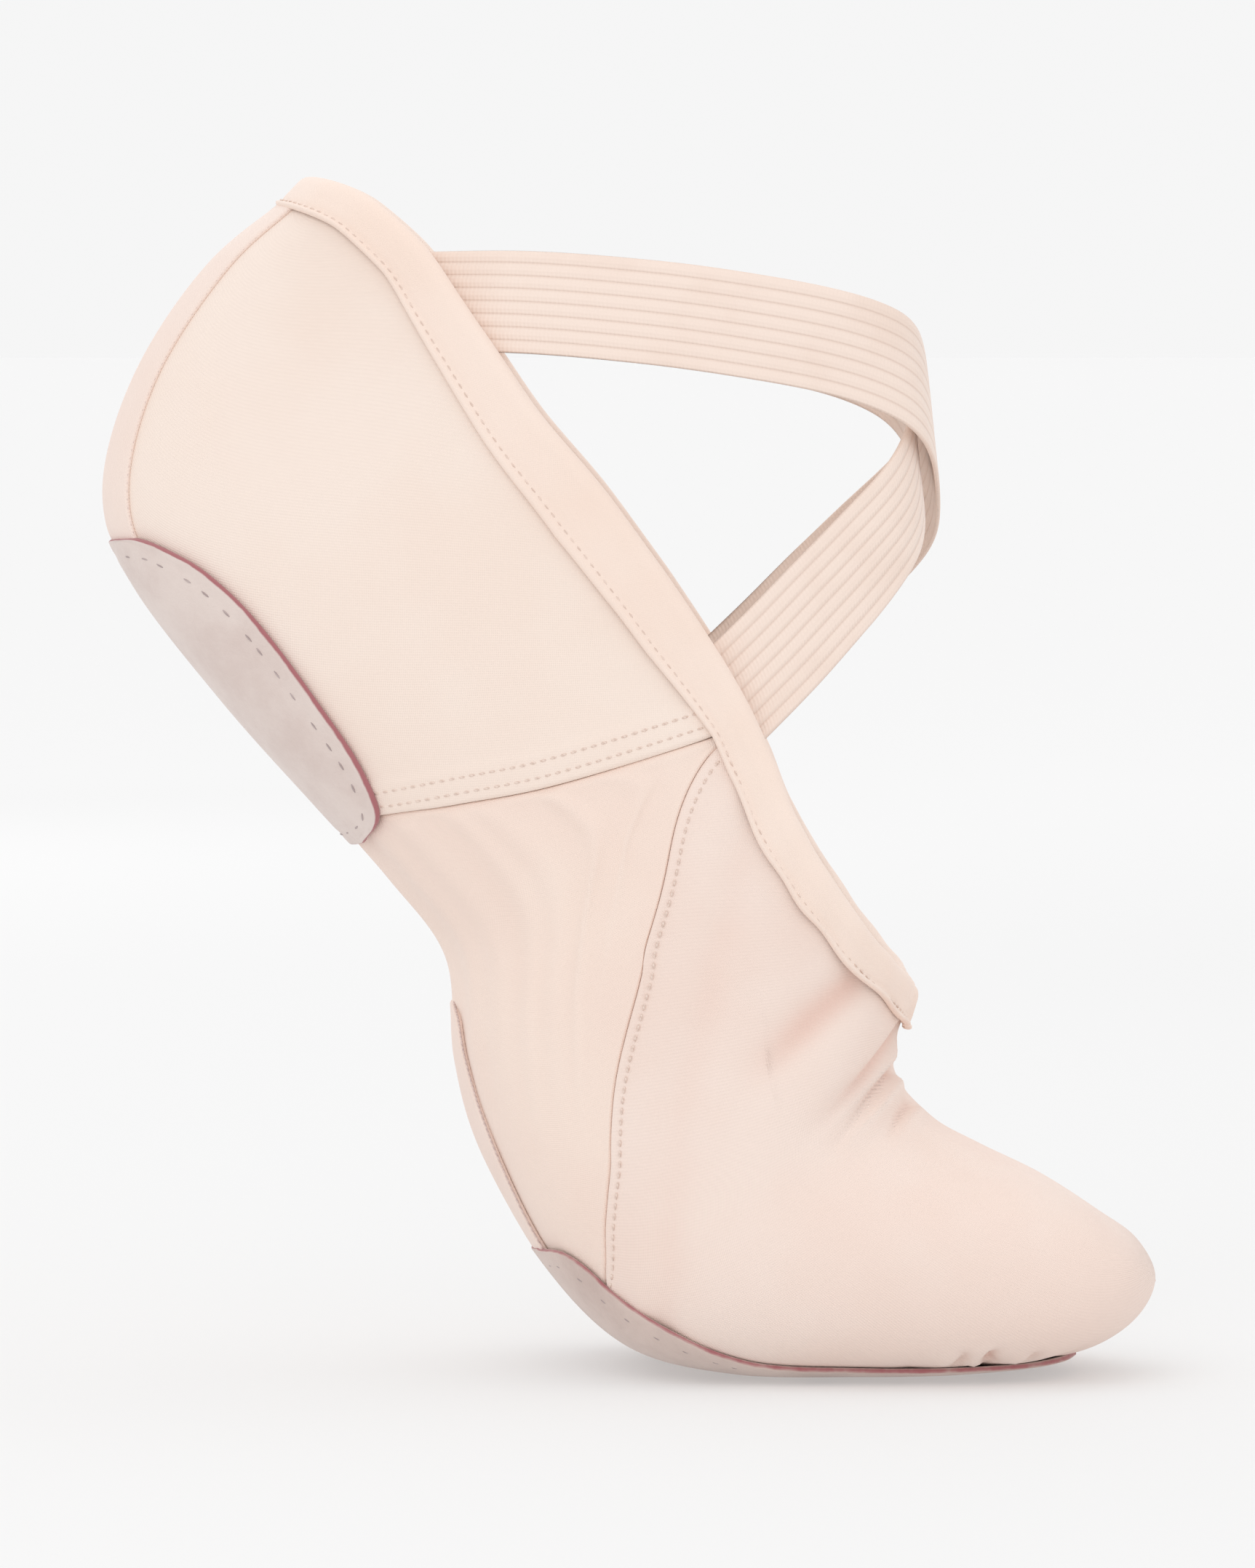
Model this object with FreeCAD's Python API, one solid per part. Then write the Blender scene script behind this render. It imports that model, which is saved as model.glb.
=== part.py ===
"""Split-sole ballet slipper for a left foot, standing on the ball of the foot with its heel raised.

Millimetres. +X points to the toe, +Z is up, the inner side of the foot is -Y, and the sole rests on Z = 0.
The slipper's skin is a run of stations from the heel's top (station 0) to the toe's tip (station 18). A station is a
closed ring that goes from a point on the sole's centre line, up the inner side to the instep, and down the outer side.
A place on the skin is (station, angle): angle 0 is the sole's centre line, pi the instep, 0 to pi the inner side.
Each piece of cloth is a sheet on that skin, with its two faces at their own distances from it.
"""
import FreeCAD
import Part
import math
import os

# Layers: distance of each face from the canvas's outer face, outwards positive
CANVAS = (0.0, -0.9)
LINING = (-1.2, -1.8)
INSOLE = (-2.1, -3.9)
SUEDE = (1.4, 0.3)
BACK_STRIP = (1.1, 0.3)
ARCH_STRIP = (1.0, 0.3)
BINDING_OUTER = 1.1
BINDING_INNER = -3.0
BINDING_CLOTH = 0.7
STRAP_OVER = (0.6, -0.3)
STRAP_UNDER = (-2.6, -3.5)

# Widths and gaps
SEAM_GAP = 0.5
STRAP_WIDTH = 19.0
BINDING_WIDTH = 8.5
BINDING_RISE = 3.4
CORD_RADIUS = 0.8
CORD_SLACK = 0.2
HEEL_HALF_WIDTH = 31.0

# One row per station: sole x, sole z, instep x, instep z, half width, centre y, narrowing towards the instep,
# flatness of the sole side, flatness of the instep side, slope down to the outer side
STATIONS = [
    (-92.0, 216.5, 15.0, 219.0, 27.0, 0.0, -0.20, 0.20, 0.45, 0.0),
    (-109.0, 202.5, 17.5, 210.0, 28.5, 0.0, -0.20, 0.20, 0.45, 0.0),
    (-122.5, 182.0, 20.0, 198.0, 30.0, 0.0, -0.18, 0.20, 0.45, 0.0),
    (-128.0, 161.0, 22.0, 184.0, 31.0, 0.0, -0.12, 0.20, 0.45, 0.0),
    (-122.0, 145.0, 23.5, 170.0, 31.5, 0.0, -0.08, 0.25, 0.45, 0.0),
    (-106.0, 124.0, 25.0, 156.0, 32.0, 0.0, -0.03, 0.30, 0.45, 0.0),
    (-89.0, 105.0, 26.0, 142.0, 32.5, 0.0, 0.0, 0.25, 0.40, 0.0),
    (-76.0, 90.5, 26.0, 128.0, 33.5, 0.0, 0.0, 0.15, 0.35, 0.0),
    (-65.5, 76.0, 25.5, 113.0, 35.0, 0.0, 0.0, 0.10, 0.30, 0.0),
    (-63.5, 57.0, 24.0, 98.0, 37.0, 0.0, 0.03, 0.10, 0.20, 0.0),
    (-58.0, 39.0, 21.5, 82.0, 39.5, 1.0, 0.05, 0.20, 0.10, 0.0),
    (-47.0, 20.0, 18.8, 67.0, 42.0, 1.5, 0.08, 0.35, 0.05, 0.0),
    (-32.5, 6.3, 17.0, 55.0, 43.5, 1.0, 0.10, 0.45, 0.0, 0.0),
    (-14.0, 1.7, 23.5, 46.5, 43.5, 0.0, 0.10, 0.50, 0.0, 0.04),
    (8.0, 1.3, 32.0, 41.6, 42.0, -2.0, 0.10, 0.50, 0.05, 0.08),
    (30.0, 2.0, 43.5, 36.2, 38.0, -5.0, 0.08, 0.50, 0.10, 0.10),
    (48.0, 4.2, 54.0, 29.8, 31.0, -8.0, 0.05, 0.40, 0.15, 0.08),
    (59.0, 9.0, 61.2, 24.5, 20.0, -10.0, 0.0, 0.20, 0.10, 0.04),
    (64.3, 17.0, 64.3, 17.0, 0.0, -11.0, 0.0, 0.20, 0.10, 0.0),
]
TIP = 17.93

# Outlines as (station, share of the way from the sole line up to the instep line)
TOPLINE_HEEL = [(0.02, 0.0), (0.05, 0.03), (0.2, 0.1), (0.48, 0.18)]
TOPLINE_SIDE = [(0.48, 0.18), (0.98, 0.285), (1.6, 0.38), (2.3, 0.46), (3.1, 0.525), (3.95, 0.57), (4.8, 0.597),
                (5.7, 0.618), (6.6, 0.637)]
TOPLINE_FRONT = [(6.9, 0.642), (7.8, 0.662), (8.74, 0.735), (9.7, 0.84), (10.5, 0.945), (11.0, 1.0)]
QUARTER_SEAM = [(6.27, 0.0), (6.27, 0.06), (6.4, 0.18), (6.54, 0.33), (6.6, 0.57)]
INSERT_REAR = [(6.33, 0.0), (6.33, 0.06), (6.46, 0.18), (6.60, 0.33), (6.68, 0.57)]
INSERT_FRONT = [(10.6, 0.0), (10.55, 0.1), (10.3, 0.24), (9.7, 0.30), (8.9, 0.37), (8.5, 0.39), (7.5, 0.47), (6.85, 0.57)]
VAMP_SEAM = [(10.30, 0.268), (9.78, 0.312), (8.95, 0.385), (8.55, 0.402), (7.55, 0.482), (6.93, 0.57)]
VAMP_FRONT = [(10.65, 0.27), (11.2, 0.36), (11.5, 0.45), (11.8, 0.68), (11.9, 1.0)]
TOE_REAR = [(10.8, 0.0), (10.8, 0.02), (10.8, 0.1), (10.8, 0.27), (11.3, 0.36), (11.6, 0.45), (11.9, 0.68), (12.0, 1.0)]

# Half widths of the patches, pads and strip as (station, angle in radians)
FORE_PATCH = [(10.82, 0.40), (10.95, 0.68), (11.4, 0.82), (12.2, 0.90), (13.15, 0.78), (14.0, 0.72), (15.0, 0.72),
              (15.7, 0.58), (16.1, 0.30)]
HEEL_PATCH = [(3.5, 0.28), (3.56, 0.52), (3.86, 0.72), (4.25, 0.83), (4.7, 0.87), (5.25, 0.86), (5.8, 0.80),
              (6.3, 0.66), (6.5, 0.38)]
BACK_STRIP_WIDTH = [(0.50, 0.45), (1.2, 0.47), (2.0, 0.45), (2.8, 0.45), (3.42, 0.45)]
ARCH_STRIP_WIDTH = [(8.45, 0.15), (8.7, 0.28), (9.4, 0.37), (10.0, 0.43), (10.6, 0.46)]
FORE_INSOLE = [(11.0, 0.35), (11.6, 0.70), (12.5, 0.78), (13.5, 0.78), (14.5, 0.72), (15.3, 0.66), (15.9, 0.40)]
HEEL_INSOLE = [(3.7, 0.30), (4.1, 0.55), (4.8, 0.65), (5.4, 0.62), (5.9, 0.50), (6.15, 0.30)]

# A strap's centre line on the skin, from its inner-side end to its outer-side end, as (station, angle)
STRAP_OVER_PATH = [(1.45, 1.27), (1.6, 1.55), (1.87, 1.81), (2.25, 2.08), (2.68, 2.38), (3.2, 2.74), (3.85, 3.14),
                   (4.45, 3.55), (4.98, 3.90), (5.45, 4.13), (5.93, 4.33), (6.37, 4.52)]
STRAP_FREE = (0.12, 0.94)
STRAP_TAB = 17.0
STRAP_CUT = 0.004
STRAP_SINK_OVER = 4.2
STRAP_SINK_UNDER = 1.2
STRAP_SINK_SHARE = 0.32


def smooth(rows, place):
    """Catmull-Rom curve through equal rows, at a place counted in rows."""
    last = len(rows) - 2
    i = max(0, min(last, int(place)))
    t = place - i
    before = rows[i - 1] if i else [2 * a - b for a, b in zip(rows[0], rows[1])]
    after = rows[i + 2] if i < last else [2 * a - b for a, b in zip(rows[-1], rows[-2])]
    out = []
    for a, b, c, d in zip(before, rows[i], rows[i + 1], after):
        out.append(0.5 * (2 * b + (c - a) * t + (2 * a - 5 * b + 4 * c - d) * t * t + (3 * b - a - 3 * c + d) * t ** 3))
    return out


def ring(station):
    """The station's ten values. Past the tip the rings go back through it, so the toe closes smoothly."""
    sole_x, sole_z, top_x, top_z, width, *rest = STATIONS[-2]
    through = (top_x, top_z, sole_x, sole_z, -width, *rest)
    rows = STATIONS + [through]
    return smooth(rows, min(station, len(STATIONS) - 1.0))


def rise(values, angle):
    """Share of the way from the sole line to the instep line: an ellipse's, with its ends made flatter."""
    c, s = math.cos(angle), math.sin(angle)
    flat = values[7] * (1 + c) / 2 + values[8] * (1 - c) / 2
    return (1 - c * (1 + flat * s * s)) / 2 * (1 + values[9] * s)


def skin(station, angle):
    """The place on the canvas's outer face."""
    values = ring(station)
    share = rise(values, angle)
    x = values[0] + share * (values[2] - values[0])
    z = values[1] + share * (values[3] - values[1])
    y = values[5] - values[4] * math.sin(angle) * (1 + values[6] * math.cos(angle))
    return FreeCAD.Vector(x, y, z)


def slopes(station, angle):
    """The skin's two slopes and its outward normal."""
    step = 0.01
    forward = (skin(station + step, angle) - skin(station - step, angle)) * (0.5 / step)
    around = (skin(station, angle + step) - skin(station, angle - step)) * (0.5 / step)
    normal = forward.cross(around)
    normal.normalize()
    return forward, around, normal


def lifted(station, angle, distance):
    """A place at a distance outside the skin."""
    return skin(station, angle) + slopes(station, angle)[2] * distance


def angle_of(station, share):
    """The inner-side angle whose rise is the share, by halving."""
    values = ring(station)
    low, high = 0.0, math.pi
    if share >= 1.0:
        return high
    for _ in range(40):
        middle = (low + high) / 2
        if rise(values, middle) < share:
            low = middle
        else:
            high = middle
    return (low + high) / 2


def outline(points):
    """An outline given as (station, share), as (station, angle) on the inner side."""
    return [(station, angle_of(station, share)) for station, share in points]


def along(points, t):
    """The place at share t of an outline, its points evenly spaced in t."""
    return smooth(points, t * (len(points) - 1))


def mirrored(points):
    """The same outline on the outer side, with angles past pi."""
    return [(station, 2 * math.pi - angle) for station, angle in points]


def opposite(points):
    """The same outline on the outer side, with angles below zero."""
    return [(station, -angle) for station, angle in points]


def patch(bottom, top, left, right, across, up):
    """Coons grid between four outlines: a place is the sum of the two ruled grids less the corners' grid."""
    corners = along(bottom, 0), along(bottom, 1), along(top, 0), along(top, 1)
    grid = []
    for i in range(across + 1):
        s = i / across
        column = []
        for j in range(up + 1):
            t = j / up
            place = []
            for k in (0, 1):
                ruled = (1 - t) * along(bottom, s)[k] + t * along(top, s)[k]
                ruled += (1 - s) * along(left, t)[k] + s * along(right, t)[k]
                low = (1 - s) * corners[0][k] + s * corners[1][k]
                high = (1 - s) * corners[2][k] + s * corners[3][k]
                place.append(ruled - (1 - t) * low - t * high)
            column.append(tuple(place))
        grid.append(column)
    return grid


def closed(faces):
    """One solid from faces that share their edges."""
    shell = Part.makeShell(faces)
    shell.sewShape()
    solid = Part.makeSolid(shell)
    if solid.Volume < 0:
        solid.reverse()
    return solid


def surface(points):
    face = Part.BSplineSurface()
    face.interpolate(points)
    return face


def sheet(grid, layer, sinks=None):
    """A sheet of cloth over a grid of (station, angle) places, between the layer's two distances.

    With sinks, each row of the grid lies that much further in.
    """
    sinks = sinks or [0.0] * len(grid)
    outer = surface([[lifted(s, a, layer[0] - sink) for s, a in row] for row, sink in zip(grid, sinks)])
    inner = surface([[lifted(s, a, layer[1] - sink) for s, a in row] for row, sink in zip(grid, sinks)])
    u0, u1, v0, v1 = outer.bounds()
    p0, p1, q0, q1 = inner.bounds()
    rims = [(outer.uIso(u0), inner.uIso(p0)), (outer.uIso(u1), inner.uIso(p1)),
            (outer.vIso(v0), inner.vIso(q0)), (outer.vIso(v1), inner.vIso(q1))]
    sides = [a.makeRuledSurface(b).toShape() for a, b in rims]
    return closed([outer.toShape(), inner.toShape()] + sides)


def toe_cap(rear, layer, rows=17, columns=60):
    """A sock over the toes: full rings from the rear outline to the tip, each face closed by a small flat disc."""
    half = outline(rear)
    full = half + mirrored(half)[-2::-1]
    faces, rims = [], []
    for distance in layer:
        tip_x = lifted(TIP, math.pi / 2, distance).x
        grid = []
        for j in range(columns):
            station, angle = along(full, j / columns)
            places = [station + (TIP - station) * i / rows for i in range(rows + 1)]
            line = [lifted(place, angle, distance) for place in places]
            line[-1].x = tip_x
            grid.append(line)
        grid.append(grid[0])
        wall = surface(grid)
        v0, v1 = wall.bounds()[2:]
        faces.append(wall.toShape())
        faces.append(Part.Face(Part.Wire([wall.vIso(v1).toShape()])))
        rims.append(wall.vIso(v0))
    faces.append(rims[0].makeRuledSurface(rims[1]).toShape())
    return closed(faces)


def centred(widths, layer, across=16, up=12):
    """A sheet laid over the sole's centre line, with its half width at each station."""
    first, last = widths[0], widths[-1]
    bottom, top = opposite(widths), widths
    left = [(first[0], -first[1]), (first[0], first[1])]
    right = [(last[0], -last[1]), (last[0], last[1])]
    return sheet(patch(bottom, top, left, right, across, up), layer)


def frames(path, count):
    """Point, outward normal and sideways direction along a path of (station, angle) places."""
    places = [along(path, i / count) for i in range(count + 1)]
    points = [skin(s, a) for s, a in places]
    out = []
    for i, (station, angle) in enumerate(places):
        normal = slopes(station, angle)[2]
        ahead = points[min(i + 1, count)] - points[max(i - 1, 0)]
        side = normal.cross(ahead)
        side.normalize()
        out.append((points[i], normal, side))
    return out


def swept(path_frames, section):
    """A straight-sided section carried along frames: a closed band, tube or casing."""
    curves = []
    for out, sideways in section:
        curve = Part.BSplineCurve()
        curve.interpolate([p + n * out + s * sideways for p, n, s in path_frames])
        curves.append(curve)
    faces = [curves[i - 1].makeRuledSurface(curves[i]).toShape() for i in range(len(curves))]
    for p, n, s in (path_frames[0], path_frames[-1]):
        corners = [p + n * out + s * sideways for out, sideways in section]
        faces.append(Part.Face(Part.makePolygon(corners + corners[:1])))
    return closed(faces)


def walked(station, angle, side, distance):
    """The place reached by going a distance sideways over the skin, in short steps."""
    steps = 6
    for _ in range(steps):
        a, b, _normal = slopes(station, angle)
        aa, ab, bb = a.dot(a), a.dot(b), b.dot(b)
        sa, sb = side.dot(a), side.dot(b)
        scale = distance / steps / (aa * bb - ab * ab)
        station += (sa * bb - sb * ab) * scale
        angle += (sb * aa - sa * ab) * scale
    return station, angle


def strap_row(path, share):
    """Seven places across a strap. Below share 0 and above 1 the strap runs straight on, a millimetre per 0.01."""
    inside = max(0.0, min(1.0, share))
    station, angle = along(path, inside)
    ahead = skin(*along(path, min(1.0, inside + 0.01))) - skin(*along(path, max(0.0, inside - 0.01)))
    ahead.normalize()
    if share != inside:
        station, angle = walked(station, angle, ahead, (share - inside) * 100)
    side = slopes(station, angle)[2].cross(ahead)
    side.normalize()
    return [walked(station, angle, side, STRAP_WIDTH * (j / 6 - 0.5)) for j in range(7)]


def strap_sink(share, depth):
    """How far a strap goes inside the slipper: all of the depth at its ends, none in its middle."""
    t = max(0.0, min(1.0, min(share, 1.0 - share) / STRAP_SINK_SHARE))
    return depth * (1.0 - t * t * (3.0 - 2.0 * t))


def tape(path, layer, depth, first, last, count):
    """A stretch of a strap between two shares of its path."""
    shares = [first + (last - first) * i / count for i in range(count + 1)]
    return sheet([strap_row(path, t) for t in shares], layer, [strap_sink(t, depth) for t in shares])


def casing_section():
    """The folded binding: an outer leaf, a top, and an inner leaf, as one U."""
    out, inn, cloth = BINDING_OUTER, BINDING_INNER, BINDING_CLOTH
    down, up = -BINDING_WIDTH, BINDING_RISE
    return [(out, down), (out, up), (inn, up), (inn, down), (inn + cloth, down), (inn + cloth, up - cloth),
            (out - cloth, up - cloth), (out - cloth, down)]


def cord_section():
    """A round cord, as eight sides, in the casing's fold."""
    middle_out = (BINDING_OUTER + BINDING_INNER) / 2
    middle_up = BINDING_RISE - BINDING_CLOTH - CORD_RADIUS - CORD_SLACK
    turns = [2 * math.pi * i / 8 for i in range(8)]
    return [(middle_out + CORD_RADIUS * math.cos(t), middle_up + CORD_RADIUS * math.sin(t)) for t in turns]


def topline_path(front):
    """The topline on both sides: the front part passes over the throat, the rear part round the heel."""
    if front:
        half = outline(TOPLINE_FRONT)
        return half + mirrored(half)[-2::-1]
    half = outline(TOPLINE_HEEL[1:] + TOPLINE_SIDE[1:])
    return opposite(half)[::-1] + [(TOPLINE_HEEL[0][0], 0.0)] + half


def quarter(layer, outer_side):
    """One side of the heel, from the back seam and the heel's underside up to the topline."""
    seam = outline(QUARTER_SEAM)
    gap = SEAM_GAP / (2 * HEEL_HALF_WIDTH)
    bottom = [(TOPLINE_HEEL[0][0] + 0.01, gap), (QUARTER_SEAM[0][0], gap)]
    left = [bottom[0]] + outline(TOPLINE_HEEL[1:])
    right = [bottom[-1]] + seam[1:] + [outline(TOPLINE_SIDE)[-1]]
    top = outline(TOPLINE_SIDE)
    grid = patch(bottom, top, left, right, 26, 14)
    if outer_side:
        grid = [opposite(column) for column in grid]
    return sheet(grid, layer)


def arch_insert():
    """The stretch gusset under the arch, tapering to the topline on both sides."""
    rear = outline(INSERT_REAR)
    front = outline(INSERT_FRONT)
    bottom = opposite(rear)[:0:-1] + rear
    top = opposite(front)[:0:-1] + front
    left = [bottom[0], top[0]]
    right = [bottom[-1], top[-1]]
    return sheet(patch(bottom, top, left, right, 32, 12), CANVAS)


def instep(layer):
    """The vamp's rear part: from the arch's seam on one side over the throat to the other side's seam."""
    half_front, half_top = outline(VAMP_FRONT), outline(TOPLINE_FRONT)
    seam = outline(VAMP_SEAM)
    centre = [half_front[-1], half_top[-1]]
    one = patch(half_front, half_top, [half_front[0]] + seam[1:-1] + [half_top[0]], centre, 14, 10)
    other = [mirrored(column) for column in one[-2::-1]]
    return sheet(one + other, layer)


def strap_paths():
    """The two straps' centre lines: the second is the first with its sides changed over."""
    over = STRAP_OVER_PATH
    under = mirrored(over)
    return over, under


def strap(path, layer, depth):
    """The free stretch of a strap, and its two sewn ends, which lie inside the quarters."""
    first, last = STRAP_FREE
    free = tape(path, layer, depth, first, last, 30)
    tab = STRAP_TAB / 100
    ends = [tape(path, layer, depth, -tab, first - STRAP_CUT, 14), tape(path, layer, depth, last + STRAP_CUT, 1 + tab, 12)]
    return free, Part.makeCompound(ends)


def save(name, shape):
    shape.exportStep("parts/" + name + ".step")
    volume = round(shape.Volume, 1)
    print(f"{name:32s} valid {shape.isValid()} solids {len(shape.Solids)} volume {volume}")


def main():
    os.makedirs("parts", exist_ok=True)
    save("vamp_toe", toe_cap(TOE_REAR, CANVAS))
    save("vamp_lining_toe", toe_cap(TOE_REAR, LINING))
    save("vamp_instep", instep(CANVAS))
    save("vamp_lining_instep", instep(LINING))
    save("arch_insert", arch_insert())
    save("quarter_inner", quarter(CANVAS, False))
    save("quarter_outer", quarter(CANVAS, True))
    save("quarter_lining_inner", quarter(LINING, False))
    save("quarter_lining_outer", quarter(LINING, True))
    save("heel_back_strip", centred(BACK_STRIP_WIDTH, BACK_STRIP))
    save("arch_strip", centred(ARCH_STRIP_WIDTH, ARCH_STRIP))
    save("heel_suede_patch", centred(HEEL_PATCH, SUEDE))
    save("heel_insole", centred(HEEL_INSOLE, INSOLE))
    save("forefoot_insole", centred(FORE_INSOLE, INSOLE))

    # The tread is cut level so that the slipper stands on a flat face
    tread = centred(FORE_PATCH, SUEDE, 24, 14)
    below = Part.makeBox(400, 200, 20, FreeCAD.Vector(-200, -100, -20))
    save("forefoot_suede_patch", tread.cut(below))

    front, rear = frames(topline_path(True), 40), frames(topline_path(False), 60)
    save("topline_binding_front", swept(front, casing_section()))
    save("topline_binding_rear", swept(rear, casing_section()))
    save("drawcord_front", swept(front, cord_section()))
    save("drawcord_rear", swept(rear, cord_section()))

    over, under = strap_paths()
    for name, path, layer, depth in (("strap_over", over, STRAP_OVER, STRAP_SINK_OVER),
                                     ("strap_under", under, STRAP_UNDER, STRAP_SINK_UNDER)):
        free, ends = strap(path, layer, depth)
        save(name, free)
        save(name + "_ends", ends)


main()
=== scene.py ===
import math

import bpy
import numpy as np
from bpy.props import FloatProperty, FloatVectorProperty, IntProperty, PointerProperty
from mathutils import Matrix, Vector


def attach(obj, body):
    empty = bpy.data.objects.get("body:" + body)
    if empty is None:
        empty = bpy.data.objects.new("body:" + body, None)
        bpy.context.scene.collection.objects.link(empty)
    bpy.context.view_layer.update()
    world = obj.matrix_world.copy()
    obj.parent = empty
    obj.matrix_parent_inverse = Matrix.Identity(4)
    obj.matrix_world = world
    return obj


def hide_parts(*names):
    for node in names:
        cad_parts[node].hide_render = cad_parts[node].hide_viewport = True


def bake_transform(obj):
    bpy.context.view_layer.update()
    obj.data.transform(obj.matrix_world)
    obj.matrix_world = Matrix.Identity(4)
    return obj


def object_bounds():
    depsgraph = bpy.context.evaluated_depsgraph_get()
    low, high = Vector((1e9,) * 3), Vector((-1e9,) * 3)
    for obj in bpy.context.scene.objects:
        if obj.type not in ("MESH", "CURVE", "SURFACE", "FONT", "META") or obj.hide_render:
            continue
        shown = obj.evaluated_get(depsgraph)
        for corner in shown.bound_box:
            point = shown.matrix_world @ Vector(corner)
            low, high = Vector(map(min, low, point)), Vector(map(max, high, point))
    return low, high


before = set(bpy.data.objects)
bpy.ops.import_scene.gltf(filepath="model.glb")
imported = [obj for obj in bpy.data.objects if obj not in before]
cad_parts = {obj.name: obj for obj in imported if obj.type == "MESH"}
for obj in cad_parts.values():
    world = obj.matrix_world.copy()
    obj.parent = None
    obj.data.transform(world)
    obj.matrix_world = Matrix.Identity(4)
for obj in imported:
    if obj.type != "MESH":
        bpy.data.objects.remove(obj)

bl_info = {
    "name": "Ballet slipper",
    "version": (1, 0, 0),
    "blender": (4, 5, 0),
    "location": "View3D > Sidebar > Slipper",
    "description": "A split-sole canvas ballet slipper on the ball of the foot, with crossed elastics",
    "category": "Object",
}

MM = 0.001
CAD_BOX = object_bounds()

# Layers as (outer, inner) height above the skin, in millimetres
CANVAS_LAYER = (0.0, -0.9)
LINING_LAYER = (-1.3, -1.9)
INSOLE_LAYER = (-2.1, -3.9)
TREAD_LAYER = (1.15, 0.1)
HEEL_SUEDE_LAYER = (1.55, 0.15)
ARCH_STRIP_LAYER = (0.85, -0.35)
BACK_STRIP_LAYER = (0.80, -0.25)

# How a shell ends at its first row, last row, first column and last column: 1 rounded, 2 square, 0 open
ALL_ROUNDED = (1, 1, 1, 1)
REAR_ROUNDED = (1, 0, 0, 0)
BACK_SQUARE = (1, 1, 2, 1)

# The quarter's two rows of stitches, in millimetres from its seam
SEAM_ROWS = (2.1, 4.9)

# The slipper's skin is a run of rings from the heel's top, station 0, to the toe's tip, station 18.
# One row per ring, in millimetres: sole x, sole z, instep x, instep z, half width, centre y, and then
# narrowing to the instep, flatness of the sole side, flatness of the instep side, slope to the outer side.
STATIONS = np.array([
    (-92.0, 216.5, 15.0, 219.0, 27.0, 0.0, -0.20, 0.20, 0.45, 0.0),
    (-109.0, 202.5, 17.5, 210.0, 28.5, 0.0, -0.20, 0.20, 0.45, 0.0),
    (-122.5, 182.0, 20.0, 198.0, 30.0, 0.0, -0.18, 0.20, 0.45, 0.0),
    (-128.0, 161.0, 22.0, 184.0, 31.0, 0.0, -0.12, 0.20, 0.45, 0.0),
    (-122.0, 145.0, 23.5, 170.0, 31.5, 0.0, -0.08, 0.25, 0.45, 0.0),
    (-106.0, 124.0, 25.0, 156.0, 32.0, 0.0, -0.03, 0.30, 0.45, 0.0),
    (-89.0, 105.0, 26.0, 142.0, 32.5, 0.0, 0.0, 0.25, 0.40, 0.0),
    (-76.0, 90.5, 26.0, 128.0, 33.5, 0.0, 0.0, 0.15, 0.35, 0.0),
    (-65.5, 76.0, 25.5, 113.0, 35.0, 0.0, 0.0, 0.10, 0.30, 0.0),
    (-63.5, 57.0, 24.0, 98.0, 37.0, 0.0, 0.03, 0.10, 0.20, 0.0),
    (-58.0, 39.0, 21.5, 82.0, 39.5, 1.0, 0.05, 0.20, 0.10, 0.0),
    (-47.0, 20.0, 18.8, 67.0, 42.0, 1.5, 0.08, 0.35, 0.05, 0.0),
    (-32.5, 6.3, 17.0, 55.0, 43.5, 1.0, 0.10, 0.45, 0.0, 0.0),
    (-14.0, 1.7, 23.5, 46.5, 43.5, 0.0, 0.10, 0.50, 0.0, 0.04),
    (8.0, 1.3, 32.0, 41.6, 42.0, -2.0, 0.10, 0.50, 0.05, 0.08),
    (30.0, 2.0, 43.5, 36.2, 38.0, -5.0, 0.08, 0.50, 0.10, 0.10),
    (48.0, 4.2, 54.0, 29.8, 31.0, -8.0, 0.05, 0.40, 0.15, 0.08),
    (59.0, 9.0, 61.2, 24.5, 20.0, -10.0, 0.0, 0.20, 0.10, 0.04),
    (64.3, 17.0, 64.3, 17.0, 0.0, -11.0, 0.0, 0.20, 0.10, 0.0),
])
BEYOND = STATIONS[-2][[2, 3, 0, 1, 4, 5, 6, 7, 8, 9]] * np.array([1, 1, 1, 1, -1, 1, 1, 1, 1, 1])
TOE = len(STATIONS) - 1.0

# Outlines as (station, share of the way from the sole line up to the instep line)
TOPLINE = [(0.05, 0.03), (0.2, 0.1), (0.48, 0.18), (0.98, 0.285), (1.6, 0.38), (2.3, 0.46), (3.1, 0.525),
           (3.95, 0.57), (4.8, 0.597), (5.7, 0.618), (6.6, 0.637), (7.2, 0.648), (7.95, 0.667), (8.74, 0.735),
           (9.7, 0.84), (10.5, 0.945), (11.0, 1.0)]
TOPLINE_BACK = (0.02, 0.0)
TOPLINE_APEX = 10
QUARTER_SEAM = [(6.3, 0.0), (6.3, 0.06), (6.43, 0.18), (6.57, 0.33), (6.64, 0.57), (6.65, 0.64)]
VAMP_SEAM = [(11.55, 0.0), (11.5, 0.05), (11.26, 0.114), (10.9, 0.175), (10.53, 0.235), (10.28, 0.262),
             (9.76, 0.309), (8.94, 0.382), (8.53, 0.399), (7.53, 0.479), (6.89, 0.57), (6.72, 0.64)]

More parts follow.
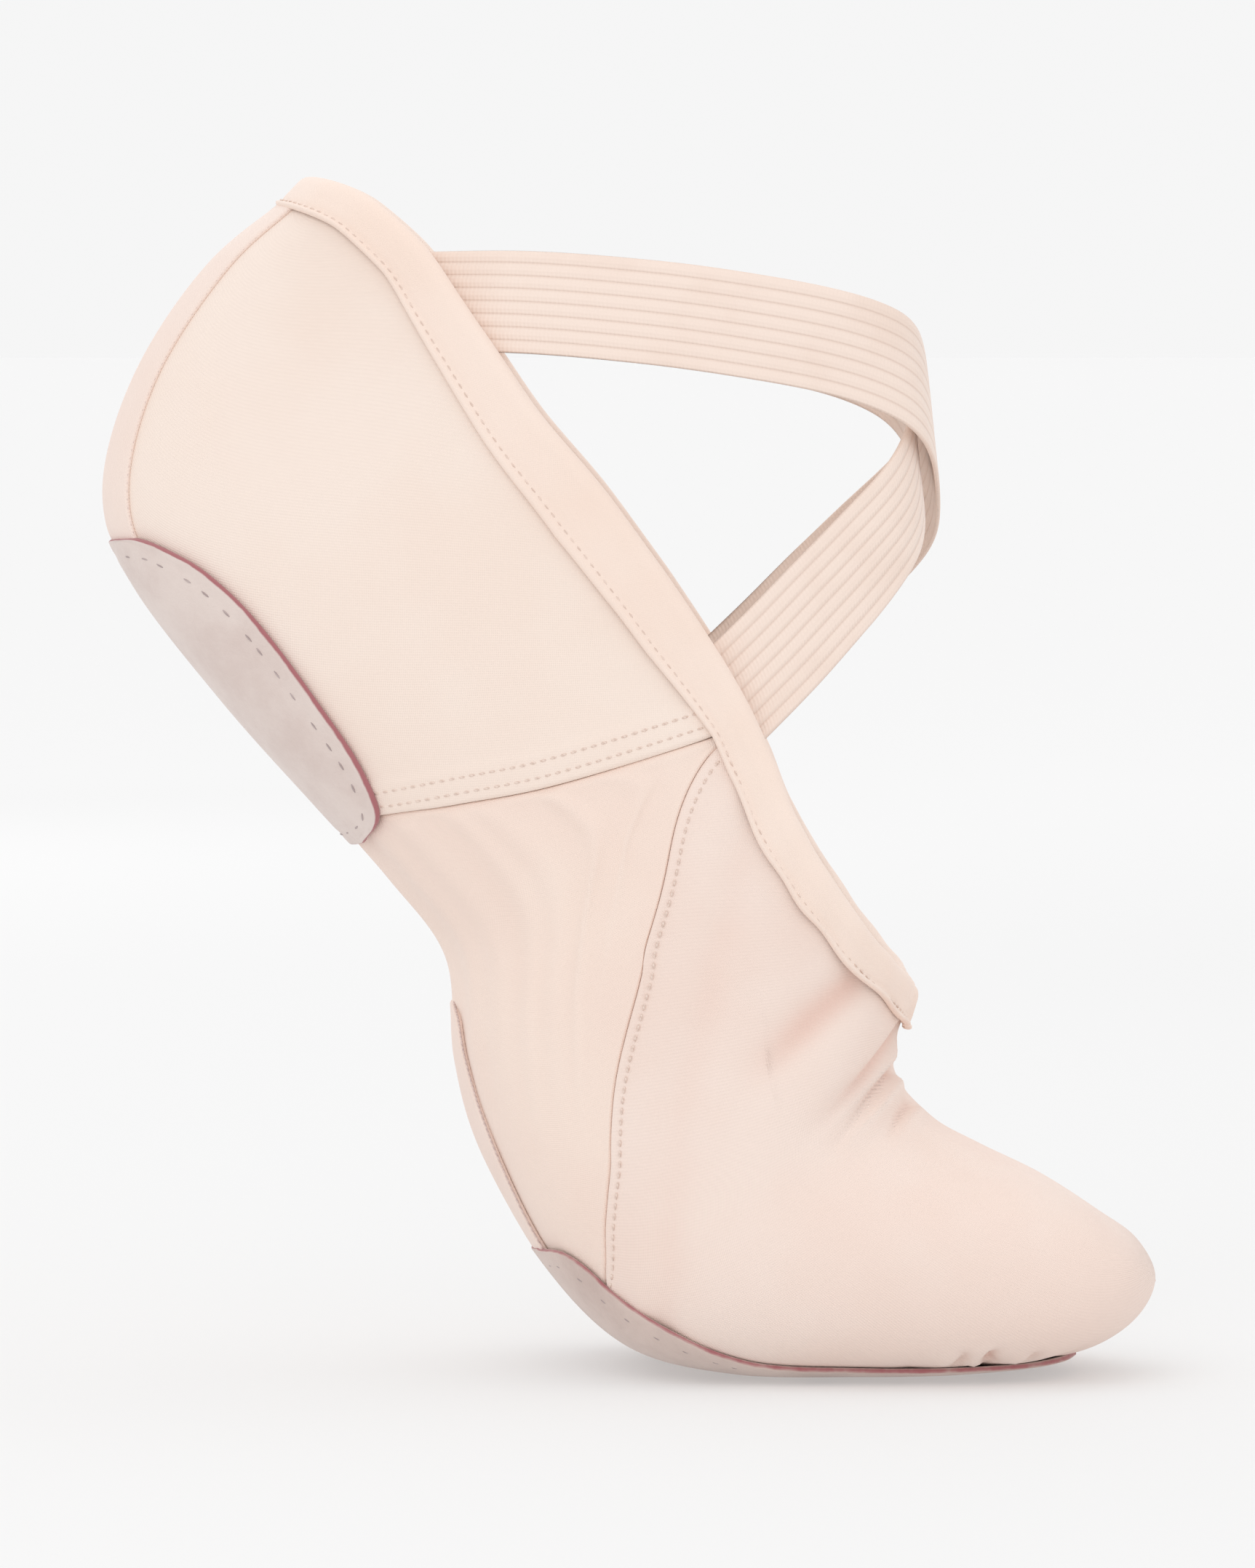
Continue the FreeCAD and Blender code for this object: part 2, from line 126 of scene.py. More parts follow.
# Half widths of the patches, pads and strips as (station, angle in radians)
FORE_PATCH = [(10.82, 0.40), (10.95, 0.68), (11.4, 0.82), (12.2, 0.90), (13.15, 0.78), (14.0, 0.72),
              (15.0, 0.68), (15.6, 0.55), (15.95, 0.38), (16.12, 0.14)]
HEEL_PATCH = [(3.5, 0.28), (3.56, 0.52), (3.86, 0.72), (4.25, 0.83), (4.7, 0.87), (5.25, 0.86),
              (5.8, 0.80), (6.3, 0.66), (6.5, 0.38)]
BACK_STRIP = [(0.05, 0.40), (0.50, 0.45), (1.2, 0.47), (2.0, 0.45), (2.8, 0.45), (3.6, 0.45)]
ARCH_STRIP = [(8.45, 0.15), (8.7, 0.28), (9.4, 0.37), (10.0, 0.43), (10.9, 0.46)]
FORE_INSOLE = [(11.0, 0.35), (11.6, 0.70), (12.5, 0.78), (13.5, 0.78), (14.5, 0.72), (15.3, 0.66),
               (15.9, 0.40)]
HEEL_INSOLE = [(3.7, 0.30), (4.1, 0.55), (4.8, 0.65), (5.4, 0.62), (5.9, 0.50), (6.15, 0.30)]

# An elastic's centre line from its inner end to its outer end, as (station, angle), and the share of its
# length that each sewn end adds
ELASTIC = [(1.45, 1.27), (1.6, 1.55), (1.87, 1.81), (2.25, 2.08), (2.68, 2.38), (3.2, 2.74), (3.85, 3.14),
           (4.45, 3.55), (4.98, 3.90), (5.45, 4.13), (5.93, 4.33), (6.37, 4.52)]
ELASTIC_TAB = 0.17

# Creases over the toe break: places along it as (station, angle), depth and half width in millimetres
CREASES = [
    ([(10.15, 2.45), (10.25, 2.14), (10.40, 1.86), (10.68, 1.56)], 1.35, 4.0),
    ([(11.25, 3.14), (11.50, 2.60), (11.50, 2.15), (11.52, 1.72)], 1.45, 2.1),
    ([(11.95, 3.14), (11.90, 2.62), (11.90, 2.20), (11.98, 1.84)], 2.0, 1.3),
    ([(12.60, 3.05), (12.50, 2.75), (12.50, 2.45), (12.58, 2.20)], 1.1, 1.2),
    ([(11.30, 3.14), (11.50, 3.70), (11.60, 4.15), (11.75, 4.50)], 1.2, 2.4),
    ([(12.00, 3.14), (12.05, 3.60), (12.15, 4.00), (12.30, 4.25)], 1.2, 1.5),
    ([(14.80, 0.70), (14.86, 0.86), (14.78, 1.04)], 0.9, 1.3),
    ([(15.16, 0.66), (15.10, 0.84), (15.18, 1.02)], 1.1, 1.2),
    ([(15.48, 0.62), (15.56, 0.80), (15.50, 0.98)], 0.8, 1.3),
    ([(14.95, -0.70), (14.90, -0.88), (14.98, -1.04)], 0.9, 1.3),
    ([(15.40, -0.64), (15.48, -0.82), (15.40, -1.0)], 0.9, 1.2),
]


# ---------------------------------------------------------------- the skin

def smooth(rows, place):
    """Catmull-Rom curve through equal rows, at places counted in rows, with its ends carried straight on."""
    rows = np.asarray(rows, float)
    place = np.asarray(place, float)
    held = np.vstack([2 * rows[0] - rows[1], rows, 2 * rows[-1] - rows[-2]])
    i = np.clip(np.floor(place).astype(int), 0, len(rows) - 2)
    t = (place - i)[..., None]
    a, b, c, d = held[i], held[i + 1], held[i + 2], held[i + 3]
    square, cube = 2 * a - 5 * b + 4 * c - d, 3 * b - a - 3 * c + d
    return 0.5 * (2 * b + (c - a) * t + square * t ** 2 + cube * t ** 3)


def rise(ring, angle):
    """Share of the way up: (1 - cos)/2 of an ellipse, its sole and instep made flatter, then sloped."""
    c, s = np.cos(angle), np.sin(angle)
    flat = ring[..., 7] * (1 + c) / 2 + ring[..., 8] * (1 - c) / 2
    return (1 - c * (1 + flat * s * s)) / 2 * (1 + ring[..., 9] * s)


def skin(station, angle):
    """The canvas's outer face: a ring goes from its sole point up to its instep point, out by its width."""
    station, angle = np.broadcast_arrays(station, angle)
    ring = smooth(np.vstack([STATIONS, BEYOND]), np.minimum(station, TOE))
    share = rise(ring, angle)
    x = ring[..., 0] + share * (ring[..., 2] - ring[..., 0])
    z = ring[..., 1] + share * (ring[..., 3] - ring[..., 1])
    y = ring[..., 5] - ring[..., 4] * np.sin(angle) * (1 + ring[..., 6] * np.cos(angle))
    return np.stack([x, y, z], -1) * MM


def unit(vectors):
    return vectors / np.maximum(np.linalg.norm(vectors, axis=-1, keepdims=True), 1e-12)


def slopes(station, angle):
    """The skin's two slopes, by central differences, and the outward normal, their cross product."""
    step = 0.01
    station = np.minimum(station, TOE - 0.04)
    forward = (skin(station + step, angle) - skin(station - step, angle)) * (0.5 / step)
    around = (skin(station, angle + step) - skin(station, angle - step)) * (0.5 / step)
    return forward, around, unit(np.cross(forward, around))


def angle_of(station, share):
    """The inner side's angle at which the rise is the share, found by halving."""
    ring = smooth(np.vstack([STATIONS, BEYOND]), np.asarray(station, float))
    low, high = np.zeros(len(ring)), np.full(len(ring), math.pi)
    for _ in range(40):
        middle = (low + high) / 2
        below = rise(ring, middle) < share
        low, high = np.where(below, middle, low), np.where(below, high, middle)
    return np.where(np.asarray(share) >= 1.0, math.pi, (low + high) / 2)


def outline(points):
    """An outline of (station, share) as (station, angle) on the inner side."""
    points = np.array(points, float)
    return np.stack([points[:, 0], angle_of(points[:, 0], points[:, 1])], -1)


def mirrored(points):
    """The same outline on the outer side, past the instep line."""
    return np.array(points, float) * (1, -1) + (0, 2 * math.pi)


def opposite(points):
    """The same outline on the outer side, past the sole line."""
    return np.array(points, float) * (1, -1)


def lengths(points, axis=0):
    """Running length along an axis of a grid of places, in millimetres."""
    steps = np.linalg.norm(np.diff(points, axis=axis), axis=-1)
    start = np.zeros_like(np.take(steps, [0], axis=axis))
    return np.cumsum(np.concatenate([start, steps], axis=axis), axis=axis) / MM


def even(points, count, places=None):
    """Places at equal steps of length along a smooth outline, or at the given shares of its length."""
    fine = smooth(points, np.linspace(0, len(points) - 1, 1500))
    run = lengths(skin(fine[:, 0], fine[:, 1]))
    wanted = (np.linspace(0, 1, count) if places is None else places) * run[-1]
    return np.stack([np.interp(wanted, run, fine[:, k]) for k in (0, 1)], -1)


def shares(count, length, close=(0.12, 0.3, 0.6, 1.1)):
    """Shares from 0 to 1, with some more close to both ends at the given millimetres."""
    near = np.array(close) / length
    return np.unique(np.concatenate([np.linspace(0, 1, count), near, 1 - near]))


def coons(bottom, top, left, right, s, t):
    """Grid between four outlines: the sum of the two ruled grids, less the corners' grid."""
    s, t = s[:, None, None], t[None, :, None]
    ruled = (1 - t) * bottom[:, None] + t * top[:, None] + (1 - s) * left[None] + s * right[None]
    low = (1 - s) * bottom[0] + s * bottom[-1]
    high = (1 - s) * top[0] + s * top[-1]
    return ruled - (1 - t) * low - t * high


def walked(station, angle, side, distance, steps=8):
    """Places reached by going sideways over the skin by a distance in millimetres, in short steps."""
    for _ in range(steps):
        a, b, _normal = slopes(station, angle)
        aa, ab, bb = (a * a).sum(-1), (a * b).sum(-1), (b * b).sum(-1)
        sa, sb = (side * a).sum(-1), (side * b).sum(-1)
        scale = distance * MM / steps / (aa * bb - ab * ab)
        station = station + (sa * bb - sb * ab) * scale
        angle = angle + (sb * aa - sa * ab) * scale
    return station, angle


def beside(path, distance, count=400):
    """An outline moved sideways over the skin, to the left of its way for a positive distance."""
    places = even(path, count)
    points = skin(places[:, 0], places[:, 1])
    side = unit(np.cross(slopes(places[:, 0], places[:, 1])[2], np.gradient(points, axis=0)))
    station, angle = walked(places[:, 0], places[:, 1], side, distance)
    return np.stack([station, angle], -1)


def nearest(points, path, count=160):
    """Each point's distance from a path, the path's share there, and its signed distance sideways, in mm."""
    places = even(path, count)
    line = skin(places[:, 0], places[:, 1])
    side = unit(np.cross(slopes(places[:, 0], places[:, 1])[2], np.gradient(line, axis=0)))
    flat = points.reshape(-1, 3)
    index = np.concatenate([
        ((part[:, None] - line[None]) ** 2).sum(-1).argmin(1) for part in np.array_split(flat, 24)
    ])
    gap = flat - line[index]
    distance = np.linalg.norm(gap, axis=1) / MM
    signed = (gap * side[index]).sum(1) / MM
    shape = points.shape[:-1]
    return distance.reshape(shape), (index / (count - 1)).reshape(shape), signed.reshape(shape)


STATION_STEP, ANGLE_STEP = 0.05, 0.04
TABLE_STATIONS = np.arange(-10, 361) * STATION_STEP
TABLE_ANGLES = np.arange(-160, 161) * ANGLE_STEP


def cloth_tables():
    """Running lengths over the skin: back from the toe at each angle, and round each ring from the sole."""
    points = skin(TABLE_STATIONS[:, None], TABLE_ANGLES[None])
    back = lengths(points[::-1], 0)[::-1]
    round_it = lengths(points, 1)
    sole = len(TABLE_ANGLES) // 2
    return back, round_it - round_it[:, sole:sole + 1]


CLOTH = cloth_tables()


def cloth_place(places):
    """A place's two numbers in metres of cloth, read between the tables' rows and columns."""
    row = np.clip((places[..., 0] - TABLE_STATIONS[0]) / STATION_STEP, 0, len(TABLE_STATIONS) - 1.001)
    column = np.clip((places[..., 1] - TABLE_ANGLES[0]) / ANGLE_STEP, 0, len(TABLE_ANGLES) - 1.001)
    i, j = row.astype(int), column.astype(int)
    a, b = row - i, column - j
    found = [
        (t[i, j] * (1 - a) + t[i + 1, j] * a) * (1 - b) + (t[i, j + 1] * (1 - a) + t[i + 1, j + 1] * a) * b
        for t in CLOTH
    ]
    return np.stack(found, -1) * MM


def bell(distance, width):
    return np.exp(-(distance / width) ** 2)


def ease(value, start, end):
    """Smooth step from 0 at start to 1 at end."""
    t = np.clip((value - start) / (end - start), 0, 1)
    return t * t * (3 - 2 * t)


def waves(a, b, seed, count=5):
    """Gentle unevenness: a few sine waves of two lengths with seeded turns, between about -1 and 1."""
    chance = np.random.default_rng(seed)
    total = 0.0
    for _ in range(count):
        turn, phase = chance.uniform(0, math.pi), chance.uniform(0, 2 * math.pi)
        size = chance.uniform(0.6, 1.8)
        total = total + np.sin((a * math.cos(turn) + b * math.sin(turn)) * size + phase)
    return total / count


# ---------------------------------------------------------------- meshes

def mesh_object(name, points, faces, finish, uv=None, marks=None):
    """A smooth mesh piece from points in metres and lists of faces, with each point's UV place and marks."""
    mesh = bpy.data.meshes.new(name)
    used, back = np.unique(np.concatenate([np.asarray(f).ravel() for f in faces]), return_inverse=True)
    parts, start = [], 0
    for group in faces:
        group = np.asarray(group)
        parts += back[start:start + group.size].reshape(group.shape).tolist()
        start += group.size
    mesh.from_pydata(points.reshape(-1, 3)[used].tolist(), [], parts)
    if uv is not None:
        layer = mesh.uv_layers.new(name="Cloth")
        corners = np.zeros(len(mesh.loops), np.int32)
        mesh.loops.foreach_get("vertex_index", corners)
        layer.data.foreach_set("uv", uv.reshape(-1, 2)[used][corners].astype(np.float32).ravel())
    for key, values in (marks or {}).items():
        attribute = mesh.attributes.new(key, "FLOAT", "POINT")
        attribute.data.foreach_set("value", values.reshape(-1)[used].astype(np.float32))
    mesh.shade_smooth()
    mesh.materials.append(finish)
    piece = bpy.data.objects.new(name, mesh)
    bpy.context.scene.collection.objects.link(piece)
    return piece


def quads(ids, turned=False):
    """Faces of a grid of point numbers. A last row that is all one point gives triangles."""
    a, b, c, d = ids[:-1, :-1], ids[1:, :-1], ids[1:, 1:], ids[:-1, 1:]
    groups = []
    pole = bool((ids[-1] == ids[-1, 0]).all())
    if pole:
        fan = np.stack([a[-1], b[-1], d[-1]], -1)
        groups.append(fan[:, ::-1] if turned else fan)
        a, b, c, d = a[:-1], b[:-1], c[:-1], d[:-1]
    square = np.stack([a, b, c, d], -1).reshape(-1, 4)
    groups.append(square[:, ::-1] if turned else square)
    return groups


def shell(name, places, layer, finish, relief=None, rims=ALL_ROUNDED, ring=False, floor=None, tape=False):
    """A closed sheet of cloth over a grid of (station, angle) places, with rounded edges.

    The outer face is at middle + half thickness * round, the inner at middle - half thickness * round, each
    plus the relief, where round is a quarter circle of the distance from the nearest rounded rim. A ring's
    last column is its first, and its last row is one point. Nothing goes below the floor. A tape's UV places
    run along its own grid, and any other piece's over the whole slipper.
    """
    points = skin(places[..., 0], places[..., 1])
    normal = slopes(places[..., 0], places[..., 1])[2]
    down, across = lengths(points, 0), lengths(points, 1)
    gaps = [down, down[-1:] - down, across, across[:, -1:] - across]
    edge = np.full(points.shape[:2], 99.0)
    for gap, rim in zip(gaps, rims):
        if rim == 1:
            edge = np.minimum(edge, gap)
    half, middle = (layer[0] - layer[1]) / 2, (layer[0] + layer[1]) / 2
    round_off = np.sqrt(np.clip(1 - (1 - np.clip(edge / max(half, 0.35), 0, 1)) ** 2, 0, 1))
    height = np.zeros_like(edge) if relief is None else relief(points, places, edge)
    outer = points + normal * ((middle + half * round_off + height) * MM)[..., None]
    inner = points + normal * ((middle - half * round_off + height * 0.85) * MM)[..., None]
    if floor is not None:
        outer[..., 2] = np.maximum(outer[..., 2], floor)
    n, m = edge.shape
    top = np.arange(n * m).reshape(n, m)
    under = top + n * m
    if ring:
        top[:, -1], under[:, -1] = top[:, 0], under[:, 0]
        tip = np.array([0.25 * MM, 0, 0])
        outer[-1], inner[-1] = outer[-2].mean(0) + tip, inner[-2].mean(0) + tip
        top[-1], under[-1] = top[-1, 0], under[-1, 0]
    for at, rim in zip(((0, slice(None)), (-1, slice(None)), (slice(None), 0), (slice(None), -1)), rims):
        if rim:
            under[at] = top[at]
    way = np.cross(np.gradient(points, axis=0), np.gradient(points, axis=1))
    turned = bool((way * normal).sum() < 0)
    both = np.stack([down, across], -1) * MM if tape else cloth_place(places)
    # The second mark is how deep the relief dips, which the cloth finishes use to paint shade into folds and
    # creases
    marked = {"edge": edge, "fold": np.zeros_like(edge) if tape else np.clip(-height, 0, 3)}
    return mesh_object(
        name,
        np.concatenate([outer.reshape(-1, 3), inner.reshape(-1, 3)]),
        quads(top, turned) + quads(under, not turned),
        finish,
        np.concatenate([both.reshape(-1, 2)] * 2),
        {key: np.concatenate([value.ravel()] * 2) for key, value in marked.items()},
    )


def carried(name, places, section, finish, closed=True, change=None):
    """A profile of (out, sideways) millimetres carried along a path of places on the skin."""
    points = skin(places[:, 0], places[:, 1])
    normal = slopes(places[:, 0], places[:, 1])[2]
    ahead = np.roll(points, -1, 0) - np.roll(points, 1, 0) if closed else np.gradient(points, axis=0)
    side = unit(np.cross(normal, ahead))
    run = lengths(np.vstack([points, points[:1]]))
    out = np.broadcast_to(section[:, 0], (len(places), len(section))).copy()
    sideways = np.broadcast_to(section[:, 1], out.shape).copy()
    if change is not None:
        out, sideways = change(places, run[:-1, None], run[-1], out, sideways)
    grid = points[:, None] + (normal[:, None] * out[..., None] + side[:, None] * sideways[..., None]) * MM
    n, m = out.shape
    ids = np.arange(n * m).reshape(n, m)
    ids = np.vstack([ids, ids[:1]]) if closed else ids
    ids = np.hstack([ids, ids[:, :1]])
    around = np.concatenate([[0], np.cumsum(np.linalg.norm(np.diff(section, axis=0), axis=1))]) * MM
    uv = np.stack(np.broadcast_arrays(run[:-1, None] * MM, around[None]), -1)
    marks = {"edge": np.abs(sideways), "fold": np.zeros_like(out), "drop": sideways, "out": out}
    middle = grid.mean(1, keepdims=True)
    way = np.cross(np.roll(grid, -1, 0) - grid, np.roll(grid, -1, 1) - grid)[: n - 1]
    turned = bool((way * (grid - middle)[: n - 1]).sum() < 0)
    return mesh_object(name, grid, quads(ids, turned), finish, uv, marks)


def stitches(name, rows, finish, pitch, length, radius, height, wander=0.0):
    """Stitches as small bent grains set end to end along rows of places, at a height above the skin, in mm.

    A grain is 6 rings of 6 points: along it -cos(u), across it radius * sin(u) to the power of 0.7, and it
    dips at its ends by a parabola. wander is how far a stitch may stray along its row, as a share of the
    pitch.
    """
    u = np.linspace(0, math.pi, 6)[:, None]
    v = np.linspace(0, 2 * math.pi, 7)[None, :-1]
    along_it = -np.cos(u) * length / 2 + 0 * v
    grain = np.stack([
        along_it,
        radius * np.sin(u) ** 0.7 * np.cos(v),
        radius * np.sin(u) ** 0.7 * np.sin(v) - 0.7 * radius * (2 * along_it / length) ** 2,
    ], -1)
    rings, spokes = grain.shape[:2]
    ids = np.arange(rings * spokes).reshape(rings, spokes)
    ids = np.hstack([ids, ids[:, :1]])
    base = quads(ids, True)[-1]
    all_points, total = [], 0
    for row in rows:
        run = lengths(skin(row[:, 0], row[:, 1]))[-1]
        count = max(2, int(run / pitch))
        shift = np.random.default_rng(count).uniform(-wander, wander, count)
        middle = even(row, count, (np.arange(count) + 0.5 + shift) / count)
        points = skin(middle[:, 0], middle[:, 1])
        normal = slopes(middle[:, 0], middle[:, 1])[2]
        ahead = unit(np.gradient(points, axis=0))
        side = np.cross(normal, ahead)
        frame_of = np.stack([ahead, side, normal], 1)
        placed = np.einsum("abk,nkc->nabc", grain * MM, frame_of)
        placed += (points + normal * height * MM)[:, None, None]
        all_points.append(placed.reshape(count, -1, 3))
        total += count
    points = np.concatenate(all_points)
    faces = base[None] + (np.arange(total) * rings * spokes)[:, None, None]
    uv = np.zeros((points.shape[0] * points.shape[1], 2))
    return mesh_object(name, points, [faces.reshape(-1, 4)], finish, uv)


# ---------------------------------------------------------------- finishes

class Socket:
    """A shader socket on which Python's operators add Math nodes."""

    def __init__(self, finish, socket):
        self.finish = finish
        self.socket = socket

    def maths(self, operation, *values):
        return self.finish.add("ShaderNodeMath", {"operation": operation}, dict(enumerate(values)))

    def __add__(self, other):
        return self.maths("ADD", self, other)

    def __sub__(self, other):
        return self.maths("SUBTRACT", self, other)

    def __rsub__(self, other):
        return self.maths("SUBTRACT", other, self)

    def __mul__(self, other):
        return self.maths("MULTIPLY", self, other)

    def __truediv__(self, other):
        return self.maths("DIVIDE", self, other)

    def __pow__(self, other):
        return self.maths("POWER", self, other)

    def sine(self):
        return self.maths("SINE", self)

    def absolute(self):
        return self.maths("ABSOLUTE", self)

    def step(self, start, end):
        """Smooth step from 0 at start to 1 at end."""
        values = {"Value": self, "From Min": start, "From Max": end}
        return self.finish.add("ShaderNodeMapRange", {"interpolation_type": "SMOOTHSTEP"}, values)

    __radd__ = __add__
    __rmul__ = __mul__


class Finish:
    """A material with one Principled shader, and one method that adds any other node."""

    def __init__(self, name, **constants):
        self.material = bpy.data.materials.new(name)
        self.material.use_nodes = True
        self.tree = self.material.node_tree
        self.shader = self.tree.nodes["Principled BSDF"]
        for key, value in constants.items():
            self.shader.inputs[key.replace("_", " ").title().replace("Ior", "IOR")].default_value = value

    def add(self, kind, settings=None, values=None, output=0):
        """Add a node: its settings first, then its sockets' values or links. Gives back one output."""
        node = self.tree.nodes.new(kind)
        for key, value in (settings or {}).items():
            setattr(node, key, value)
        for key, value in (values or {}).items():
            if isinstance(value, Socket):
                self.tree.links.new(value.socket, node.inputs[key])
            else:
                node.inputs[key].default_value = value
        return Socket(self, node.outputs[output])

    def put(self, key, value):
        self.tree.links.new(value.socket, self.shader.inputs[key])

    def cloth(self):
        """The piece's own UV place, in metres of cloth, as two numbers."""
        uv = self.add("ShaderNodeUVMap", {"uv_map": "Cloth"})
        return [self.add("ShaderNodeSeparateXYZ", None, {0: uv}, k) for k in (0, 1)]

    def mark(self, name):
        return self.add("ShaderNodeAttribute", {"attribute_name": name}, None, 2)

    def noise(self, scale, detail=2.0, roughness=0.5, distortion=0.0):
        place = self.add("ShaderNodeTexCoord", None, None, 3)
        values = {"Vector": place, "Scale": scale, "Detail": detail, "Roughness": roughness}
        return self.add("ShaderNodeTexNoise", None, {**values, "Distortion": distortion})

    def blend(self, factor, first, second):
        """A colour between two colours or colour sockets."""
        values = {0: factor, 6: first, 7: second}
        return self.add("ShaderNodeMix", {"data_type": "RGBA"}, values, 2)

    def bump(self, height, distance, strength=1.0, over=None):
        values = {"Height": height, "Distance": distance, "Strength": strength}
        if over is not None:
            values["Normal"] = over
        return self.add("ShaderNodeBump", None, values)


def rgba(colour, factor=1.0):
    return tuple(min(1.0, c * factor) for c in colour) + (1.0,)


def woven(name, light, shade, pitch, depth, sheen, painted_fold_shade_colour, rough, twill):
    """Plain-woven cloth: threads are sin(u) * sin(v) over the cloth's UV, with slubs, and painted shade in
    its folds, darker and pinker where the relief dips.
    """
    finish = Finish(name, roughness=rough, specular_ior_level=0.25, sheen_weight=sheen, sheen_roughness=0.5)
    u, v = finish.cloth()
    turns = 2 * math.pi / (pitch * MM)
    slub = finish.noise(420.0, 2.0, 0.6)
    warp = (u * turns + slub * 1.2).sine()
    weft = (v * turns + u * (turns * twill) + slub * 1.2).sine()
    threads = warp * weft
    patchy = finish.noise(26.0, 3.0, 0.55).step(0.35, 0.68)
    speck = finish.noise(900.0, 1.0, 0.5)
    colour = finish.blend(patchy * 0.55, rgba(light), rgba(shade))
    colour = finish.blend((threads * 0.5 + 0.5) * 0.10, colour, rgba(shade, 0.86))
    # Painted shade: the cloth turns darker and pinker in folds and creases, by how deep its relief dips there
    colour = finish.blend((finish.mark("fold") * 0.30).step(0.0, 1.0), colour, rgba(painted_fold_shade_colour))
    finish.put("Base Color", colour)
    finish.put("Roughness", speck * 0.12 + (rough - 0.06))
    fine = finish.bump(threads + speck * 0.5, depth * MM, 0.8)
    finish.put("Normal", finish.bump(finish.noise(160.0, 3.0, 0.6), 0.06 * MM, 0.6, fine))
    return finish.material


def suede(name, light, shade, cut_edge, cut):
    """Suede: a nap of fine noise over soft mottling, darker where it is rubbed, dyed along its cut edge."""
    finish = Finish(name, roughness=0.95, specular_ior_level=0.15, sheen_weight=0.3, sheen_roughness=0.6)
    nap = finish.noise(1500.0, 3.0, 0.7)
    mottle = finish.noise(75.0, 4.0, 0.6).step(0.34, 0.70)
    rubbed = finish.noise(30.0, 2.0, 0.5, 0.4).step(0.52, 0.72)
    colour = finish.blend(mottle * 0.75, rgba(light), rgba(shade))
    colour = finish.blend(rubbed * 0.35, colour, rgba(shade, 0.80))
    colour = finish.blend(nap * 0.22, colour, rgba(light, 1.12))
    ragged = finish.mark("edge") + finish.noise(300.0, 2.0, 0.6) * 0.5
    colour = finish.blend(1 - ragged.step(cut, cut + 0.4), colour, rgba(cut_edge))
    finish.put("Base Color", colour)
    finish.put("Roughness", nap * 0.10 + 0.86)
    coarse = finish.bump(mottle, 0.10 * MM, 0.5)
    finish.put("Normal", finish.bump(nap, 0.16 * MM, 0.8, coarse))
    return finish.material


def ribbed(name, light, shade, ribs, width):
    """Ribbed elastic: rounded lengthwise ribs across the tape's width, each with small knitted loops."""
    finish = Finish(name, roughness=0.7, specular_ior_level=0.3, sheen_weight=0.25, sheen_roughness=0.4)
    u, v = finish.cloth()
    turns = math.pi * ribs / (width * MM)
    rib = (v * turns).sine().absolute()
    loops = (u * (2 * math.pi / (0.75 * MM)) + rib * 1.4).sine()
    fine = (v * (turns * 6)).sine()
    # Painted shade: the grooves between the ribs are coloured darker
    shaded_groove = 1 - rib.step(0.05, 0.55)
    colour = finish.blend(shaded_groove * 0.5, rgba(light), rgba(shade))
    colour = finish.blend(finish.noise(60.0, 3.0, 0.5).step(0.4, 0.7) * 0.3, colour, rgba(shade))
    finish.put("Base Color", colour)
    finish.put("Roughness", shaded_groove * 0.15 + 0.66)
    shape = finish.bump(rib ** 0.6, 0.22 * MM, 0.8)
    finish.put("Normal", finish.bump(loops * 0.6 + fine * 0.4, 0.05 * MM, 0.7, shape))
    return finish.material


def twisted(name, light, shade, pitch=0.9):
    """Thread or cord: slanting plies from a sine of the place along and around it."""
    finish = Finish(name, roughness=0.6, specular_ior_level=0.35, sheen_weight=0.2)
    place = finish.add("ShaderNodeTexCoord", None, None, 3)
    x, y, z = (finish.add("ShaderNodeSeparateXYZ", None, {0: place}, k) for k in (0, 1, 2))
    plies = ((x + y + z) * (2 * math.pi / (pitch * MM))).sine() * 0.5 + 0.5
    finish.put("Base Color", finish.blend(plies * 0.6, rgba(light), rgba(shade)))
    finish.put("Roughness", plies * 0.1 + 0.55)
    finish.put("Normal", finish.bump(plies, 0.05 * MM, 0.8))
    return finish.material


def paper(name, colour):
    """The studio's floor: matt, and lit from within, more so behind the lamps, to meet the air unseen."""
    finish = Finish(name, roughness=0.9, specular_ior_level=0.1, emission_strength=1.0)
    grain = finish.noise(6.0, 2.0, 0.5)
    place = finish.add("ShaderNodeTexCoord", None, None, 3)
    away = finish.add("ShaderNodeVectorMath", {"operation": "LENGTH"}, {0: place}, 1)
    finish.put("Emission Color", finish.blend(away.step(0.9, 2.2), rgba((0.315,) * 3), rgba((0.405,) * 3)))
    finish.put("Base Color", finish.blend(grain * 0.15, rgba(colour), rgba(colour, 0.985)))
    return finish.material


